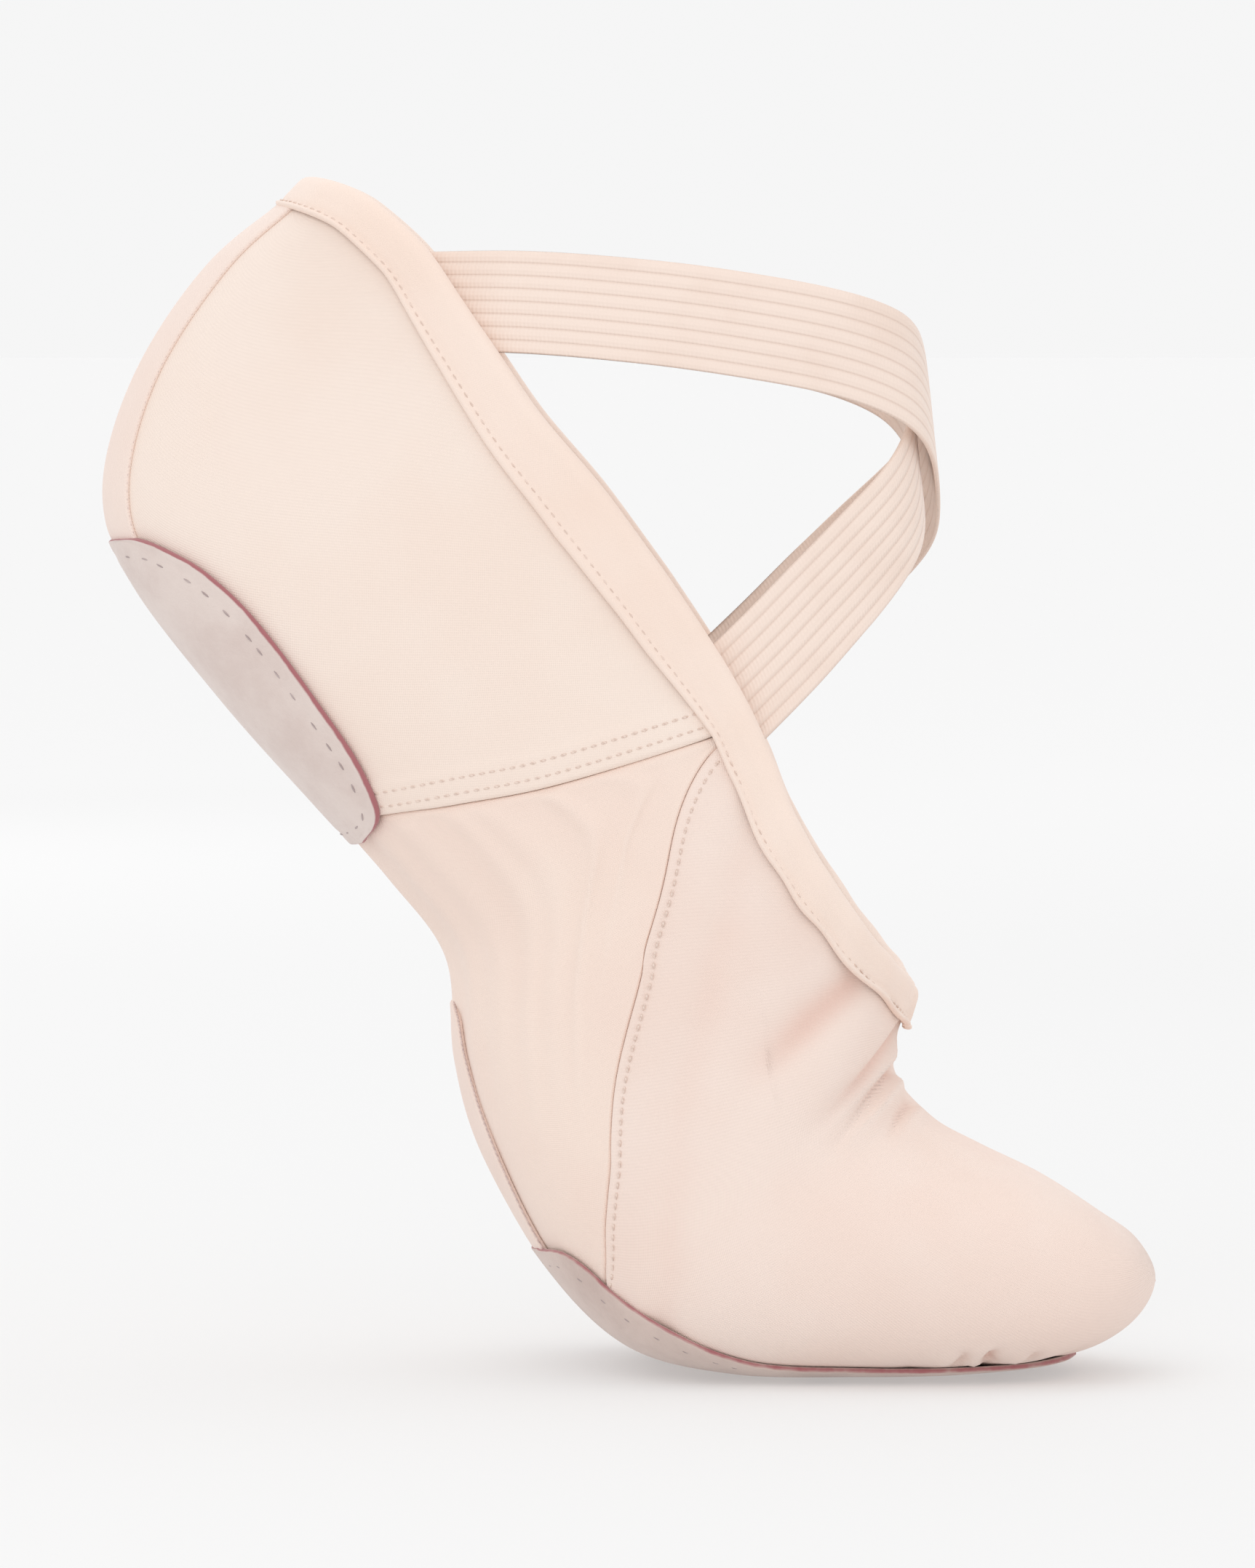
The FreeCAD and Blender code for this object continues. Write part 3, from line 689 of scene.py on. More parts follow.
def finish_of(name):
    """A finish by name, made the first time it is asked for from the colours in the panel."""
    if name in bpy.data.materials:
        return bpy.data.materials[name]
    c, s = bpy.context.scene.slipper_colours, bpy.context.scene.slipper_sizes

    def cloth(key, kind, finer, flatter, sheen, rough, twill=0.0):
        light, shade = getattr(c, kind), getattr(c, kind + "_shade")
        pitch, depth = s.weave_pitch * finer, s.weave_depth * flatter
        return woven(key, light, shade, pitch, depth, sheen, c.fold, rough, twill)

    makers = {
        "vamp_canvas": lambda n: cloth(n, "canvas", 1.0, 1.0, 0.15, 0.85),
        "quarter_canvas": lambda n: cloth(n, "quarter", 1.0, 1.0, 0.15, 0.85),
        "stretch_canvas": lambda n: cloth(n, "insert", 0.9, 1.0, 0.2, 0.82, 0.5),
        "binding_tape": lambda n: cloth(n, "binding", 0.8, 0.7, 0.2, 0.8),
        "cotton_lining": lambda n: cloth(n, "lining", 0.9, 1.0, 0.1, 0.9),
        "insole_cloth": lambda n: cloth(n, "insole", 1.2, 1.2, 0.1, 0.92),
        "suede_patch": lambda n: suede(n, c.suede, c.suede_shade, c.suede_edge, 0.60),
        "tread_suede": lambda n: suede(n, c.tread, c.tread_shade, c.suede_edge, 0.22),
        "ribbed_elastic": lambda n: ribbed(n, c.elastic, c.elastic_shade, s.elastic_ribs, s.elastic_width),
        "cotton_cord": lambda n: twisted(n, c.lining, c.lining_shade, 2.0),
        "pale_thread": lambda n: twisted(n, c.thread, c.thread_shade),
        "grey_thread": lambda n: twisted(n, c.grey_thread, c.grey_thread_shade),
        "strip_edge": lambda n: twisted(n, c.strip_edge, c.strip_edge_shade),
    }
    return makers[name](name)


def colour_prop(name, red, green, blue):
    """A colour property from its sRGB numbers out of 255, kept as linear light."""
    linear = tuple(((c / 255 + 0.055) / 1.055) ** 2.4 for c in (red, green, blue))
    note = name + ", in linear light"
    return FloatVectorProperty(
        name=name, description=note, subtype="COLOR", size=3, min=0, max=1, default=linear
    )


def size_prop(name, note, value):
    """A size of nought or more."""
    return FloatProperty(name=name, description=note, default=value, min=0.0, precision=3)


class SlipperSizes(bpy.types.PropertyGroup):
    weave_pitch: size_prop("Weave pitch", "Thread to thread, mm", 0.6)
    weave_depth: size_prop("Weave depth", "Height of a thread, mm", 0.035)
    stitch_pitch: size_prop("Stitch pitch", "Stitch to stitch, mm", 1.9)
    thread_radius: size_prop("Thread radius", "Half a thread's width, mm", 0.22)
    crease_depth: size_prop("Crease depth", "Factor on the toe break's creases", 1.25)
    binding_width: size_prop("Binding width", "Below the topline, mm", 8.5)
    elastic_width: size_prop("Elastic width", "Across the tape, mm", 19.0)
    elastic_ribs: IntProperty(name="Elastic ribs", description="Lengthwise ribs", default=8, min=2)
    key_light: size_prop("Key light", "Power of the main light, W", 3.7)


class SlipperColours(bpy.types.PropertyGroup):
    canvas: colour_prop("Vamp canvas", 244, 226, 216)
    canvas_shade: colour_prop("Vamp canvas, shade", 240, 216, 204)
    quarter: colour_prop("Quarter canvas", 246, 230, 219)
    quarter_shade: colour_prop("Quarter canvas, shade", 243, 223, 210)
    insert: colour_prop("Stretch insert", 246, 227, 215)
    insert_shade: colour_prop("Stretch insert, shade", 242, 219, 207)
    binding: colour_prop("Binding", 247, 228, 216)
    binding_shade: colour_prop("Binding, shade", 243, 219, 204)
    # The colour of the painted shade in the cloth's folds and creases
    fold: colour_prop("Cloth in a fold", 232, 188, 172)
    lining: colour_prop("Lining", 244, 234, 224)
    lining_shade: colour_prop("Lining, shade", 236, 223, 211)
    insole: colour_prop("Insole", 238, 224, 212)
    insole_shade: colour_prop("Insole, shade", 228, 211, 198)
    suede: colour_prop("Suede", 224, 209, 202)
    suede_shade: colour_prop("Suede, shade", 209, 190, 183)
    suede_edge: colour_prop("Suede's cut edge", 170, 106, 110)
    tread: colour_prop("Forefoot suede", 213, 194, 185)
    tread_shade: colour_prop("Forefoot suede, shade", 190, 168, 160)
    elastic: colour_prop("Elastic", 243, 224, 212)
    # The elastic's darker colour: painted shade in the grooves between its ribs, and its random mottling
    elastic_shade: colour_prop("Elastic, groove", 231, 206, 191)
    thread: colour_prop("Pale thread", 236, 216, 204)
    thread_shade: colour_prop("Pale thread, shade", 208, 182, 168)
    grey_thread: colour_prop("Grey thread", 190, 174, 171)
    grey_thread_shade: colour_prop("Grey thread, shade", 154, 136, 135)
    strip_edge: colour_prop("Strip's edge thread", 222, 201, 194)
    strip_edge_shade: colour_prop("Strip's edge thread, shade", 190, 164, 160)
    paper: colour_prop("Studio paper", 196, 196, 196)


# ---------------------------------------------------------------- shapes of the pieces

def loop_path():
    """The whole topline as one closed run of places, from the back seam over the throat and back."""
    half = outline(TOPLINE)
    start = np.array([TOPLINE_BACK])
    whole = np.vstack([start, half, mirrored(half)[-2::-1], start + (0, 2 * math.pi)])
    before, after = whole[-4:-1] - (0, 2 * math.pi), whole[1:4] + (0, 2 * math.pi)
    return np.vstack([before, whole, after]), 3, len(whole) - 1


def loop_places(count):
    """Evenly spaced places on the closed topline, without repeating the first."""
    points, skip, span = loop_path()
    fine = smooth(points, np.linspace(skip, skip + span, 4000))
    run = lengths(skin(fine[:, 0], fine[:, 1]))
    wanted = np.linspace(0, run[-1], count + 1)[:-1]
    return np.stack([np.interp(wanted, run, fine[:, k]) for k in (0, 1)], -1)


def full_rear():
    """The vamp's rear edge all round: up the arch seam, over the throat, and down the other side."""
    seam = outline(VAMP_SEAM)
    front = outline(TOPLINE[TOPLINE_APEX + 1:])
    half = np.vstack([seam, front])
    return np.vstack([half, mirrored(half)[-2::-1]])


def patch_rim():
    """The forefoot patch's outline as one run, from its rear round its front end and back."""
    widths = np.array(FORE_PATCH)
    return np.vstack([widths, opposite(widths)[::-1]])


def vamp_relief(points, places, edge):
    """Creases over the toe break, pleats gathered at the toe, dimples at the seams, and gentle unevenness."""
    size = bpy.context.scene.slipper_sizes
    height = np.zeros(edge.shape)
    for path, depth, width in CREASES:
        distance, share, side = nearest(points, np.array(path))
        fade = ease(share, -0.02, 0.18) * ease(share, 0.96, 0.40)
        valley = -bell(side, width) * bell(np.maximum(distance - np.abs(side), 0), width)
        ridge = bell(side - 1.9 * width, 1.3 * width) * bell(np.maximum(distance - 3 * width, 0), width)
        height += depth * size.crease_depth * fade * (valley + 0.55 * ridge)
    distance, share, side = nearest(points, patch_rim(), 400)
    place = share * 68
    pleat = np.abs(np.sin(place + 0.6 * np.sin(place * 0.37))) ** 0.6 - 0.75
    toes = ease(places[..., 0], 14.1, 15.2) * ease(distance, 13.0, 1.5)
    under = ease(np.cos(places[..., 1]), 0.05, 0.55)
    height += 0.95 * toes * under * pleat
    soft = waves(points[..., 0] * 55, points[..., 2] * 70 + points[..., 1] * 40, 4)
    height += 0.28 * soft * ease(edge, 0, 8)
    seam = outline(VAMP_SEAM)
    from_seam = np.minimum(nearest(points, seam, 300)[0], nearest(points, opposite(seam), 300)[0])
    on_side = ease(np.abs(places[..., 1] - math.pi), 0.8, 1.5)
    height -= (0.50 * bell(from_seam - 13, 3.6) - 0.25 * bell(from_seam - 7, 2.6)) * on_side
    height += 0.22 * bell(edge - 2.4, 2.0) - 0.40 * bell(edge, 0.6)
    return height


def insert_relief(points, places, edge):
    """Soft folds that hang from the quarter's seam towards the sole, and a dip where the seams hold it."""
    along_seam = lengths(points, 0)
    run = along_seam - along_seam[len(along_seam) // 2]
    chance = np.random.default_rng(11)
    height = np.zeros(edge.shape)
    share = np.broadcast_to(np.linspace(0, 1, edge.shape[1])[None], edge.shape)
    for place in np.arange(-70, 71, 9.5):
        middle_at = place + chance.uniform(-2, 2) + 5 * (share - 0.4) * chance.uniform(-1, 1)
        reach = ease(share, -0.05, 0.12) * ease(share, chance.uniform(0.75, 1.0), 0.35)
        height += chance.uniform(0.7, 1.25) * bell(run - middle_at, chance.uniform(2.0, 3.4)) * reach
    height -= 0.35
    return height * ease(edge, 0, 3) - 0.50 * bell(edge, 0.9)


def quarter_relief(points, places, edge):
    """A smooth full side, raised where the seam is turned under, with a rolled seam edge and soft dimples."""
    size = bpy.context.scene.slipper_sizes
    seam = outline(QUARTER_SEAM)
    seam = seam if places[..., 1].mean() > 0 else opposite(seam)
    distance, share, _side = nearest(points, seam, 300)
    height = 0.34 * ease(distance, 7.5, 5.6) - 0.40 * bell(distance, 0.5)
    soft = waves(points[..., 0] * 42, points[..., 2] * 38 + points[..., 1] * 30, 9)
    height += 0.22 * soft * ease(edge, 0, 9)
    run = lengths(skin(seam[:, 0], seam[:, 1]))[-1]
    dimple = 0.75 + 0.25 * np.cos(2 * math.pi * share * run / size.stitch_pitch)
    height -= 0.12 * dimple * (bell(distance - SEAM_ROWS[0], 0.6) + bell(distance - SEAM_ROWS[1], 0.6))
    return height


def quarter_places(outer_side):
    """The quarter's grid, from the back seam and the sole line up to the topline."""
    gap = 0.0012
    top = even(outline(TOPLINE[2:TOPLINE_APEX + 1]), 0, shares(170, 175.0))
    sole = np.array([(TOPLINE_BACK[0], gap), (3.1, gap), (QUARTER_SEAM[0][0], gap)])
    bottom = even(sole, 0, shares(170, 160.0))
    count = min(len(top), len(bottom))
    rows = even(np.vstack([[bottom[0]], outline(TOPLINE[:3])]), 0, shares(96, 50.0))
    seam = outline(QUARTER_SEAM)
    end = even(np.vstack([[bottom[-1]], seam[1:-1], [top[-1]]]), 0, shares(96, 60.0))
    s = np.linspace(0, 1, count)
    grid = coons(bottom[:count], top[:count], rows, end, s, np.linspace(0, 1, len(rows)))
    return grid * (1, -1) if outer_side else grid


def insert_places():
    """The insert's grid, round the sole from one side's apex to the other, and from rear seam to front."""
    rear, front = outline(QUARTER_SEAM), outline(VAMP_SEAM)
    across = shares(230, 150.0)
    bottom = even(np.vstack([opposite(rear)[:0:-1], rear]), 0, across)
    top = even(np.vstack([opposite(front)[:0:-1], front]), 0, across)
    up = shares(70, 40.0)
    left = bottom[0] + (top[0] - bottom[0]) * up[:, None]
    right = bottom[-1] + (top[-1] - bottom[-1]) * up[:, None]
    return coons(bottom, top, left, right, across, up)


def vamp_places(rows=118, columns=330):
    """The vamp's grid: all round from its rear edge, each line running on to the toe's tip."""
    rear = even(full_rear(), columns)
    t = shares(rows, 120.0, (0.12, 0.3, 0.6, 1.1, 1.8))
    t = t[(t < 0.995) | (t == 1.0)]
    station = rear[None, :, 0] + (TOE - rear[None, :, 0]) * t[:, None]
    angle = np.broadcast_to(rear[None, :, 1], station.shape)
    grid = np.stack([station, angle], -1)
    grid[:, -1] = grid[:, 0]
    return grid


def centred_places(widths, across, down):
    """A grid over the sole's centre line, with its half width at each station."""
    widths = np.array(widths)
    first, last = widths[0], widths[-1]
    t = shares(down, lengths(skin(widths[:, 0], widths[:, 1]))[-1])
    low, high = even(opposite(widths), 0, t), even(widths, 0, t)
    s = shares(across, 40.0)
    left = np.stack([np.full(len(s), first[0]), first[1] * (2 * s - 1)], -1)
    right = np.stack([np.full(len(s), last[0]), last[1] * (2 * s - 1)], -1)
    return coons(low, high, left, right, t, s)


def elastic_places(path, first, last, count, across):
    """A tape's grid: its centre line over the skin, with places walked sideways on both sides of it."""
    width = bpy.context.scene.slipper_sizes.elastic_width
    t = np.linspace(first, last, count)
    inside = np.clip(t, 0, 1)
    span = len(path) - 1
    centre = smooth(path, inside * span)
    ahead_at = smooth(path, np.clip(inside + 0.01, 0, 1) * span)
    behind_at = smooth(path, np.clip(inside - 0.01, 0, 1) * span)
    ahead = unit(skin(ahead_at[:, 0], ahead_at[:, 1]) - skin(behind_at[:, 0], behind_at[:, 1]))
    station, angle = walked(centre[:, 0], centre[:, 1], ahead, (t - inside) * 100)
    side = unit(np.cross(slopes(station, angle)[2], ahead))
    s = shares(across, width, (0.12, 0.3))
    offsets = (s - 0.5) * width
    grid = walked(station[:, None], angle[:, None], side[:, None], offsets[None])
    depth = np.clip(np.minimum(t, 1 - t) / 0.32, 0, 1)
    return np.stack(grid, -1), 1 - depth * depth * (3 - 2 * depth), s


# ---------------------------------------------------------------- operators

def ball_blend(piece):
    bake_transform(piece)


def arch_blend(piece):
    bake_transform(piece)


def add_piece(piece, nodes=(), body=None):
    if nodes:
        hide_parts(*nodes)
    if body:
        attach(piece, body)
    return piece


class SLIPPER_OT_vamp(bpy.types.Operator):
    """Make the vamp's canvas, its lining and its seam stitches"""
    bl_idname = "slipper.vamp"
    bl_label = "Vamp"

    def execute(self, context):
        size = context.scene.slipper_sizes

        def under(points, places, edge):
            """The lining follows the canvas's hollows, and not its ridges."""
            return -0.1 * bell(edge, 2) + 0.85 * np.minimum(vamp_relief(points, places, edge), 0)

        vamp = shell("vamp", vamp_places(), CANVAS_LAYER, finish_of("vamp_canvas"), vamp_relief,
                     REAR_ROUNDED, True)
        add_piece(vamp, ("vamp_toe", "vamp_instep"))
        ball_blend(vamp)
        lining = shell("vamp_lining", vamp_places(60, 180), LINING_LAYER, finish_of("cotton_lining"), under,
                       REAR_ROUNDED, True)
        add_piece(lining, ("vamp_lining_toe", "vamp_lining_instep"))
        ball_blend(lining)
        seam = outline(VAMP_SEAM[1:])
        rows = [beside(seam, -2.0), beside(opposite(seam), 2.0)]
        thread = stitches("vamp_seam_stitches", rows, finish_of("pale_thread"), size.stitch_pitch,
                          size.stitch_pitch * 0.7, size.thread_radius, 0.34)
        add_piece(thread, body="midfoot")
        return {"FINISHED"}


class SLIPPER_OT_arch(bpy.types.Operator):
    """Make the stretch insert under the arch and the strip on its underside"""
    bl_idname = "slipper.arch"
    bl_label = "Arch"

    def execute(self, context):
        insert = shell("arch_insert_cloth", insert_places(), CANVAS_LAYER, finish_of("stretch_canvas"),
                       insert_relief)
        add_piece(insert, ("arch_insert",))
        arch_blend(insert)
        strip = shell("arch_strip_cloth", centred_places(ARCH_STRIP, 40, 90), ARCH_STRIP_LAYER,
                      finish_of("vamp_canvas"),
                      lambda p, a, e: 0.25 * waves(p[..., 2] * 220, p[..., 1] * 90, 5) * ease(e, 0, 3))
        add_piece(strip, ("arch_strip",), "midfoot")
        rim = np.array(ARCH_STRIP)
        thread = stitches("arch_strip_stitches", [beside(rim, 0.2), beside(opposite(rim), -0.2)],
                          finish_of("strip_edge"), 1.15, 1.2, 0.18, 0.50)
        add_piece(thread, body="midfoot")
        return {"FINISHED"}


class SLIPPER_OT_quarters(bpy.types.Operator):
    """Make the two quarters, their linings, the back strip and their stitches"""
    bl_idname = "slipper.quarters"
    bl_label = "Quarters"

    def execute(self, context):
        size = context.scene.slipper_sizes
        rows = []
        for side, outer_side in (("inner", False), ("outer", True)):
            quarter = shell("quarter_" + side + "_canvas", quarter_places(outer_side), CANVAS_LAYER,
                            finish_of("quarter_canvas"), quarter_relief, BACK_SQUARE)
            add_piece(quarter, ("quarter_" + side,), "heel")
            lining = shell("quarter_lining_" + side + "_cloth", quarter_places(outer_side)[::2, ::2],
                           LINING_LAYER, finish_of("cotton_lining"), rims=BACK_SQUARE)
            add_piece(lining, ("quarter_lining_" + side,), "heel")
            seam = outline(QUARTER_SEAM[1:])
            seam = opposite(seam) if outer_side else seam
            turn = -1 if outer_side else 1
            rows += [beside(seam, away * turn) for away in SEAM_ROWS]
        thread = stitches("quarter_seam_stitches", rows, finish_of("pale_thread"), size.stitch_pitch,
                          size.stitch_pitch * 0.68, size.thread_radius, 0.30)
        add_piece(thread, body="heel")
        strip = shell("back_strip", centred_places(BACK_STRIP, 48, 110), BACK_STRIP_LAYER,
                      finish_of("vamp_canvas"),
                      lambda p, a, e: 0.10 * bell(e - 3.5, 2.2))
        add_piece(strip, ("heel_back_strip",), "heel")
        rim = np.array(BACK_STRIP)
        edges = stitches("back_strip_stitches", [beside(rim, -0.15), beside(opposite(rim), 0.15)],
                         finish_of("strip_edge"), 1.5, 1.0, 0.14, 0.42)
        add_piece(edges, body="heel")
        return {"FINISHED"}


def binding_section():
    """The folded tape's profile as a closed run of (out, sideways): raised lower edge, soft top, leaf."""
    knots = np.array([
        (0.45, -8.3), (1.00, -8.55), (1.55, -8.15), (1.62, -7.4), (1.20, -6.6), (1.15, -5.8), (1.35, -4.4),
        (1.50, -2.2), (1.65, 0.0), (1.80, 1.5), (1.45, 2.8), (0.35, 3.6), (-1.0, 3.8), (-2.1, 3.5),
        (-2.85, 2.6), (-3.05, 0.8), (-3.0, -2.5), (-3.0, -6.0), (-3.0, -8.0), (-2.65, -8.45), (-2.35, -8.0),
        (-2.3, -3.0), (-2.2, 1.6), (-1.0, 2.9), (0.2, 2.2), (0.35, -3.0), (0.35, -7.6),
    ])
    closed = np.vstack([knots[-1:], knots, knots[:2]])
    return smooth(closed, np.linspace(1, len(knots) + 1, 70)[:-1])


def binding_width(places):
    """The tape's width below the topline, as a share of its widest, by station."""
    stations = (0.0, 1.0, 2.2, 4.0, 5.4, 6.6, 8.0, 11.0)
    widths = (0.56, 0.60, 0.80, 1.0, 0.86, 0.58, 0.56, 0.50)
    return np.interp(places[:, 0], stations, widths)


def binding_change(places, run, total, out, sideways):
    """Width by place, a wavy lower edge towards the throat, and gathers where the drawcord pulls it in."""
    throat = np.abs(run - total / 2)
    width = binding_width(places)[:, None]
    lower = ease(-sideways, 1, 7)
    sideways = np.where(sideways < 0, sideways * width, sideways)
    ripple = 0.35 * np.sin(run * 0.42 + 1.1 * np.sin(run * 0.11)) * ease(throat, 95, 30)
    sideways = sideways + lower * ripple
    gather = bell(throat, 11) * (np.abs(np.sin(run * 1.25)) - 0.55)
    soft = 0.14 * np.sin(run * 0.55 + sideways * 0.2) * ease(throat, 110, 30)
    out = out + np.sign(out + 0.9) * (0.62 * gather + soft) * ease(sideways, -9, -4)
    sideways = sideways + 0.5 * gather * ease(sideways, 0, 3)
    return out, sideways


class SLIPPER_OT_binding(bpy.types.Operator):
    """Make the folded binding round the topline, its stitches and the drawcord inside it"""
    bl_idname = "slipper.binding"
    bl_label = "Binding"

    def execute(self, context):
        size = context.scene.slipper_sizes
        section = binding_section() * (1, size.binding_width / 8.5)
        places = loop_places(880)
        binding = carried("binding", places, section, finish_of("binding_tape"), True, binding_change)
        add_piece(binding, ("topline_binding_front", "topline_binding_rear"))
        arch_blend(binding)
        low = -(size.binding_width - 2.0) * binding_width(places)
        normal = slopes(places[:, 0], places[:, 1])[2]
        points = skin(places[:, 0], places[:, 1])
        side = unit(np.cross(normal, np.roll(points, -1, 0) - np.roll(points, 1, 0)))
        row = np.stack(walked(places[:, 0], places[:, 1], side, low), -1)
        row = np.vstack([row, row[:1] + (0, 2 * math.pi)])
        thread = stitches("binding_stitches", [row], finish_of("pale_thread"), size.stitch_pitch,
                          size.stitch_pitch * 0.7, 0.16, 1.24)
        add_piece(thread)
        arch_blend(thread)
        turns = np.linspace(0, 2 * math.pi, 13)[:-1]
        around = np.stack([-0.95 + 0.8 * np.cos(turns), 1.7 + 0.8 * np.sin(turns)], -1)
        cord = carried("drawcord", places[::2], around, finish_of("cotton_cord"))
        add_piece(cord, ("drawcord_front", "drawcord_rear"))
        arch_blend(cord)
        return {"FINISHED"}


class SLIPPER_OT_suede(bpy.types.Operator):
    """Make the two suede sole patches and the dashes of thread round them"""
    bl_idname = "slipper.suede"
    bl_label = "Suede patches"

    def execute(self, context):
        def curled(points, places, edge):
            """The forefoot patch's rear edge is a little wavy."""
            wavy = waves(points[..., 0] * 420, points[..., 1] * 300, 3)
            return 0.35 * wavy * bell(edge, 3) * ease(places[..., 0], 12.2, 11.2)

        def sewn_in(points, places, edge):
            """The heel patch is gently uneven, and dips along its stitches."""
            return 0.12 * waves(points[..., 0] * 120, points[..., 1] * 100, 6) - 0.12 * bell(edge - 3.2, 0.8)

        fore = shell("forefoot_patch", centred_places(FORE_PATCH, 90, 150), TREAD_LAYER,
                     finish_of("tread_suede"), curled, floor=0.0)
        add_piece(fore, ("forefoot_suede_patch",))
        ball_blend(fore)
        heel = shell("heel_patch", centred_places(HEEL_PATCH, 90, 130), HEEL_SUEDE_LAYER,
                     finish_of("suede_patch"), sewn_in)
        add_piece(heel, ("heel_suede_patch",), "heel")
        widths = np.array(HEEL_PATCH)
        rim = np.vstack([widths, opposite(widths)[::-1]])
        dashes = stitches("heel_patch_stitches", [beside(rim, -3.2)], finish_of("grey_thread"), 5.0, 2.1,
                          0.22, 1.50, 0.2)
        add_piece(dashes, body="heel")
        widths = np.array(FORE_PATCH)[:5]
        dashes = stitches("forefoot_patch_stitches", [beside(widths, -3.2), beside(opposite(widths), 3.2)],
                          finish_of("grey_thread"), 5.6, 1.8, 0.20, 1.08, 0.2)
        add_piece(dashes)
        ball_blend(dashes)
        return {"FINISHED"}


class SLIPPER_OT_insoles(bpy.types.Operator):
    """Make the two padded insoles"""
    bl_idname = "slipper.insoles"
    bl_label = "Insoles"

    def execute(self, context):
        def crown(points, places, edge):
            """Lower towards its middle, with a rounded rib near its edge."""
            return -0.5 * ease(edge, 0, 9) + 0.35 * bell(edge - 3.0, 0.9)

        for name, widths, body in (("forefoot", FORE_INSOLE, None), ("heel", HEEL_INSOLE, "heel")):
            pad = shell(name + "_pad", centred_places(widths, 60, 90), INSOLE_LAYER,
                        finish_of("insole_cloth"), crown)
            add_piece(pad, (name + "_insole",), body)
            if body is None:
                ball_blend(pad)
        return {"FINISHED"}


class SLIPPER_OT_elastics(bpy.types.Operator):
    """Make the two crossed elastics, each with its sewn ends, and the tacks that hold them"""
    bl_idname = "slipper.elastics"
    bl_label = "Elastics"

    def execute(self, context):
        size = context.scene.slipper_sizes
        # Each tape's name, centre line, layer, and how far its ends sink below that, in millimetres
        for name, path, layer, depth in (("strap_over", np.array(ELASTIC), (0.6, -0.3), 4.2),
                                         ("strap_under", mirrored(ELASTIC), (-2.6, -3.5), 1.2)):
            places, sink, s = elastic_places(path, -ELASTIC_TAB, 1 + ELASTIC_TAB, 420, 60)
            ribs = 0.10 * np.abs(np.sin(s * math.pi * size.elastic_ribs)) ** 0.7
            shape = ribs[None] - depth * sink[:, None]
            tape = shell(name + "_elastic", places, layer, finish_of("ribbed_elastic"), lambda p, a, e: shape,
                         tape=True)
            add_piece(tape, (name, name + "_ends"))
            chord = skin(path[[0, -1], 0], path[[0, -1], 1]).mean(0)
            out = skin(path[5:7, 0], path[5:7, 1]).mean(0) - chord
            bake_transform(tape)
            rows = []
            for a, b in ((-ELASTIC_TAB + 0.02, -0.02), (1.02, 1 + ELASTIC_TAB - 0.02)):
                places = elastic_places(path, a, b, 30, 21)[0]
                rows += [places[0], places[-1], places[:, 3], places[:, -4]]
            tack = stitches(name + "_tacks", rows, finish_of("pale_thread"), 1.5, 1.3, 0.18,
                            layer[1] - depth - 0.05)
            add_piece(tack, body="heel")
        return {"FINISHED"}


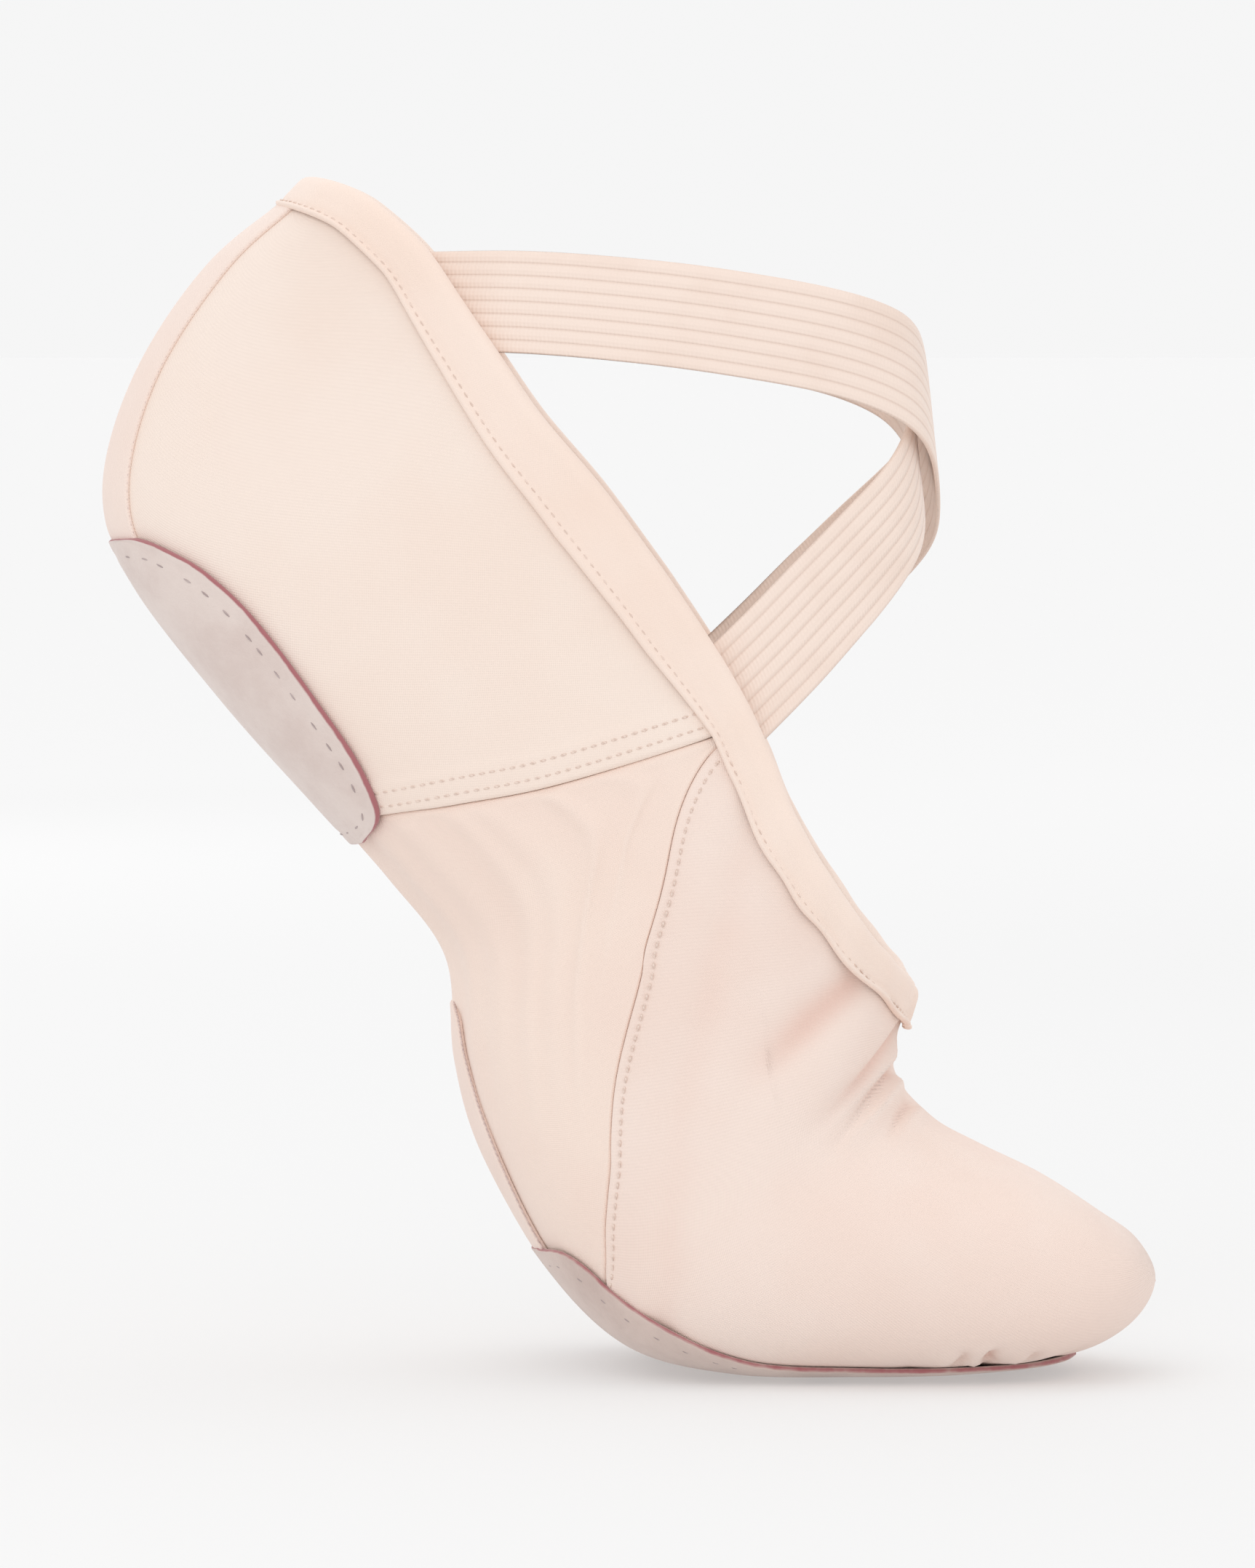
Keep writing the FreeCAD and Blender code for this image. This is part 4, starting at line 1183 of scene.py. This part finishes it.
class SLIPPER_OT_stage(bpy.types.Operator):
    """Make the paper floor, the soft lights, the air and the camera"""
    bl_idname = "slipper.stage"
    bl_label = "Stage"

    def execute(self, context):
        scene = context.scene
        size, colours = scene.slipper_sizes, scene.slipper_colours
        low, high = CAD_BOX
        reach = np.linspace(-30, 30, 7)
        x, y = np.meshgrid(reach, reach, indexing="ij")
        ids = np.arange(x.size).reshape(x.shape)
        points = np.stack([x, y, np.zeros_like(x)], -1)
        mesh_object("paper_floor", points, quads(ids), paper("studio_paper", colours.paper))

        middle = [(a + b) / 2 for a, b in zip(low, high)]
        for name, place, power, width in (
            ("key", (-0.55, -1.25, 1.15), size.key_light, 1.1),
            ("fill", (1.0, -1.3, 0.55), size.key_light * 0.42, 1.4),
            ("top", (0.1, 0.35, 1.5), size.key_light * 0.6, 1.3),
            ("back", (-0.7, 1.3, 0.8), size.key_light * 0.55, 1.2),
        ):
            light = bpy.data.lights.new(name, "AREA")
            light.energy, light.size = power, width
            lamp = bpy.data.objects.new(name, light)
            lamp.location = place
            aim = np.array(middle) - np.array(place)
            tilt = math.atan2(math.hypot(aim[0], aim[1]), -aim[2])
            lamp.rotation_euler = (tilt, 0, math.atan2(-aim[0], aim[1]))
            scene.collection.objects.link(lamp)
        world = bpy.data.worlds.new("studio_air")
        world.use_nodes = True
        air = world.node_tree.nodes["Background"]
        air.inputs[0].default_value = (1, 1, 1, 1)
        air.inputs[1].default_value = 0.92
        scene.world = world
        scene.view_settings.view_transform = "Standard"

        camera = bpy.data.cameras.new("camera")
        camera.lens = 212
        camera.sensor_width = 36
        view = bpy.data.objects.new("camera", camera)
        distance, lift = 1.7, math.radians(3.0)
        target = (middle[0], 0.0, middle[2] - 0.002)
        view.location = (target[0], -distance * math.cos(lift), target[2] + distance * math.sin(lift))
        view.rotation_euler = (math.pi / 2 - lift, 0, 0)
        scene.collection.objects.link(view)
        scene.camera = view
        return {"FINISHED"}


class SLIPPER_PT_panel(bpy.types.Panel):
    """The slipper's pieces, sizes and colours"""
    bl_label = "Ballet slipper"
    bl_idname = "SLIPPER_PT_panel"
    bl_space_type = "VIEW_3D"
    bl_region_type = "UI"
    bl_category = "Slipper"

    def draw(self, context):
        for operator_class in PIECES:
            self.layout.operator(operator_class.bl_idname)
        for group in (context.scene.slipper_sizes, context.scene.slipper_colours):
            for key in group.__annotations__:
                self.layout.prop(group, key)


PIECES = (SLIPPER_OT_vamp, SLIPPER_OT_arch, SLIPPER_OT_quarters, SLIPPER_OT_binding, SLIPPER_OT_suede,
          SLIPPER_OT_insoles, SLIPPER_OT_elastics, SLIPPER_OT_stage)
CLASSES = (SlipperSizes, SlipperColours) + PIECES + (SLIPPER_PT_panel,)


def register():
    for each in CLASSES:
        bpy.utils.register_class(each)
    bpy.types.Scene.slipper_sizes = PointerProperty(type=SlipperSizes)
    bpy.types.Scene.slipper_colours = PointerProperty(type=SlipperColours)


def unregister():
    del bpy.types.Scene.slipper_colours
    del bpy.types.Scene.slipper_sizes
    for each in reversed(CLASSES):
        bpy.utils.unregister_class(each)


def main():
    register()
    for piece in PIECES:
        group, name = piece.bl_idname.split(".")
        getattr(getattr(bpy.ops, group), name)()
    bpy.context.view_layer.update()


if __name__ == "__main__":
    main()
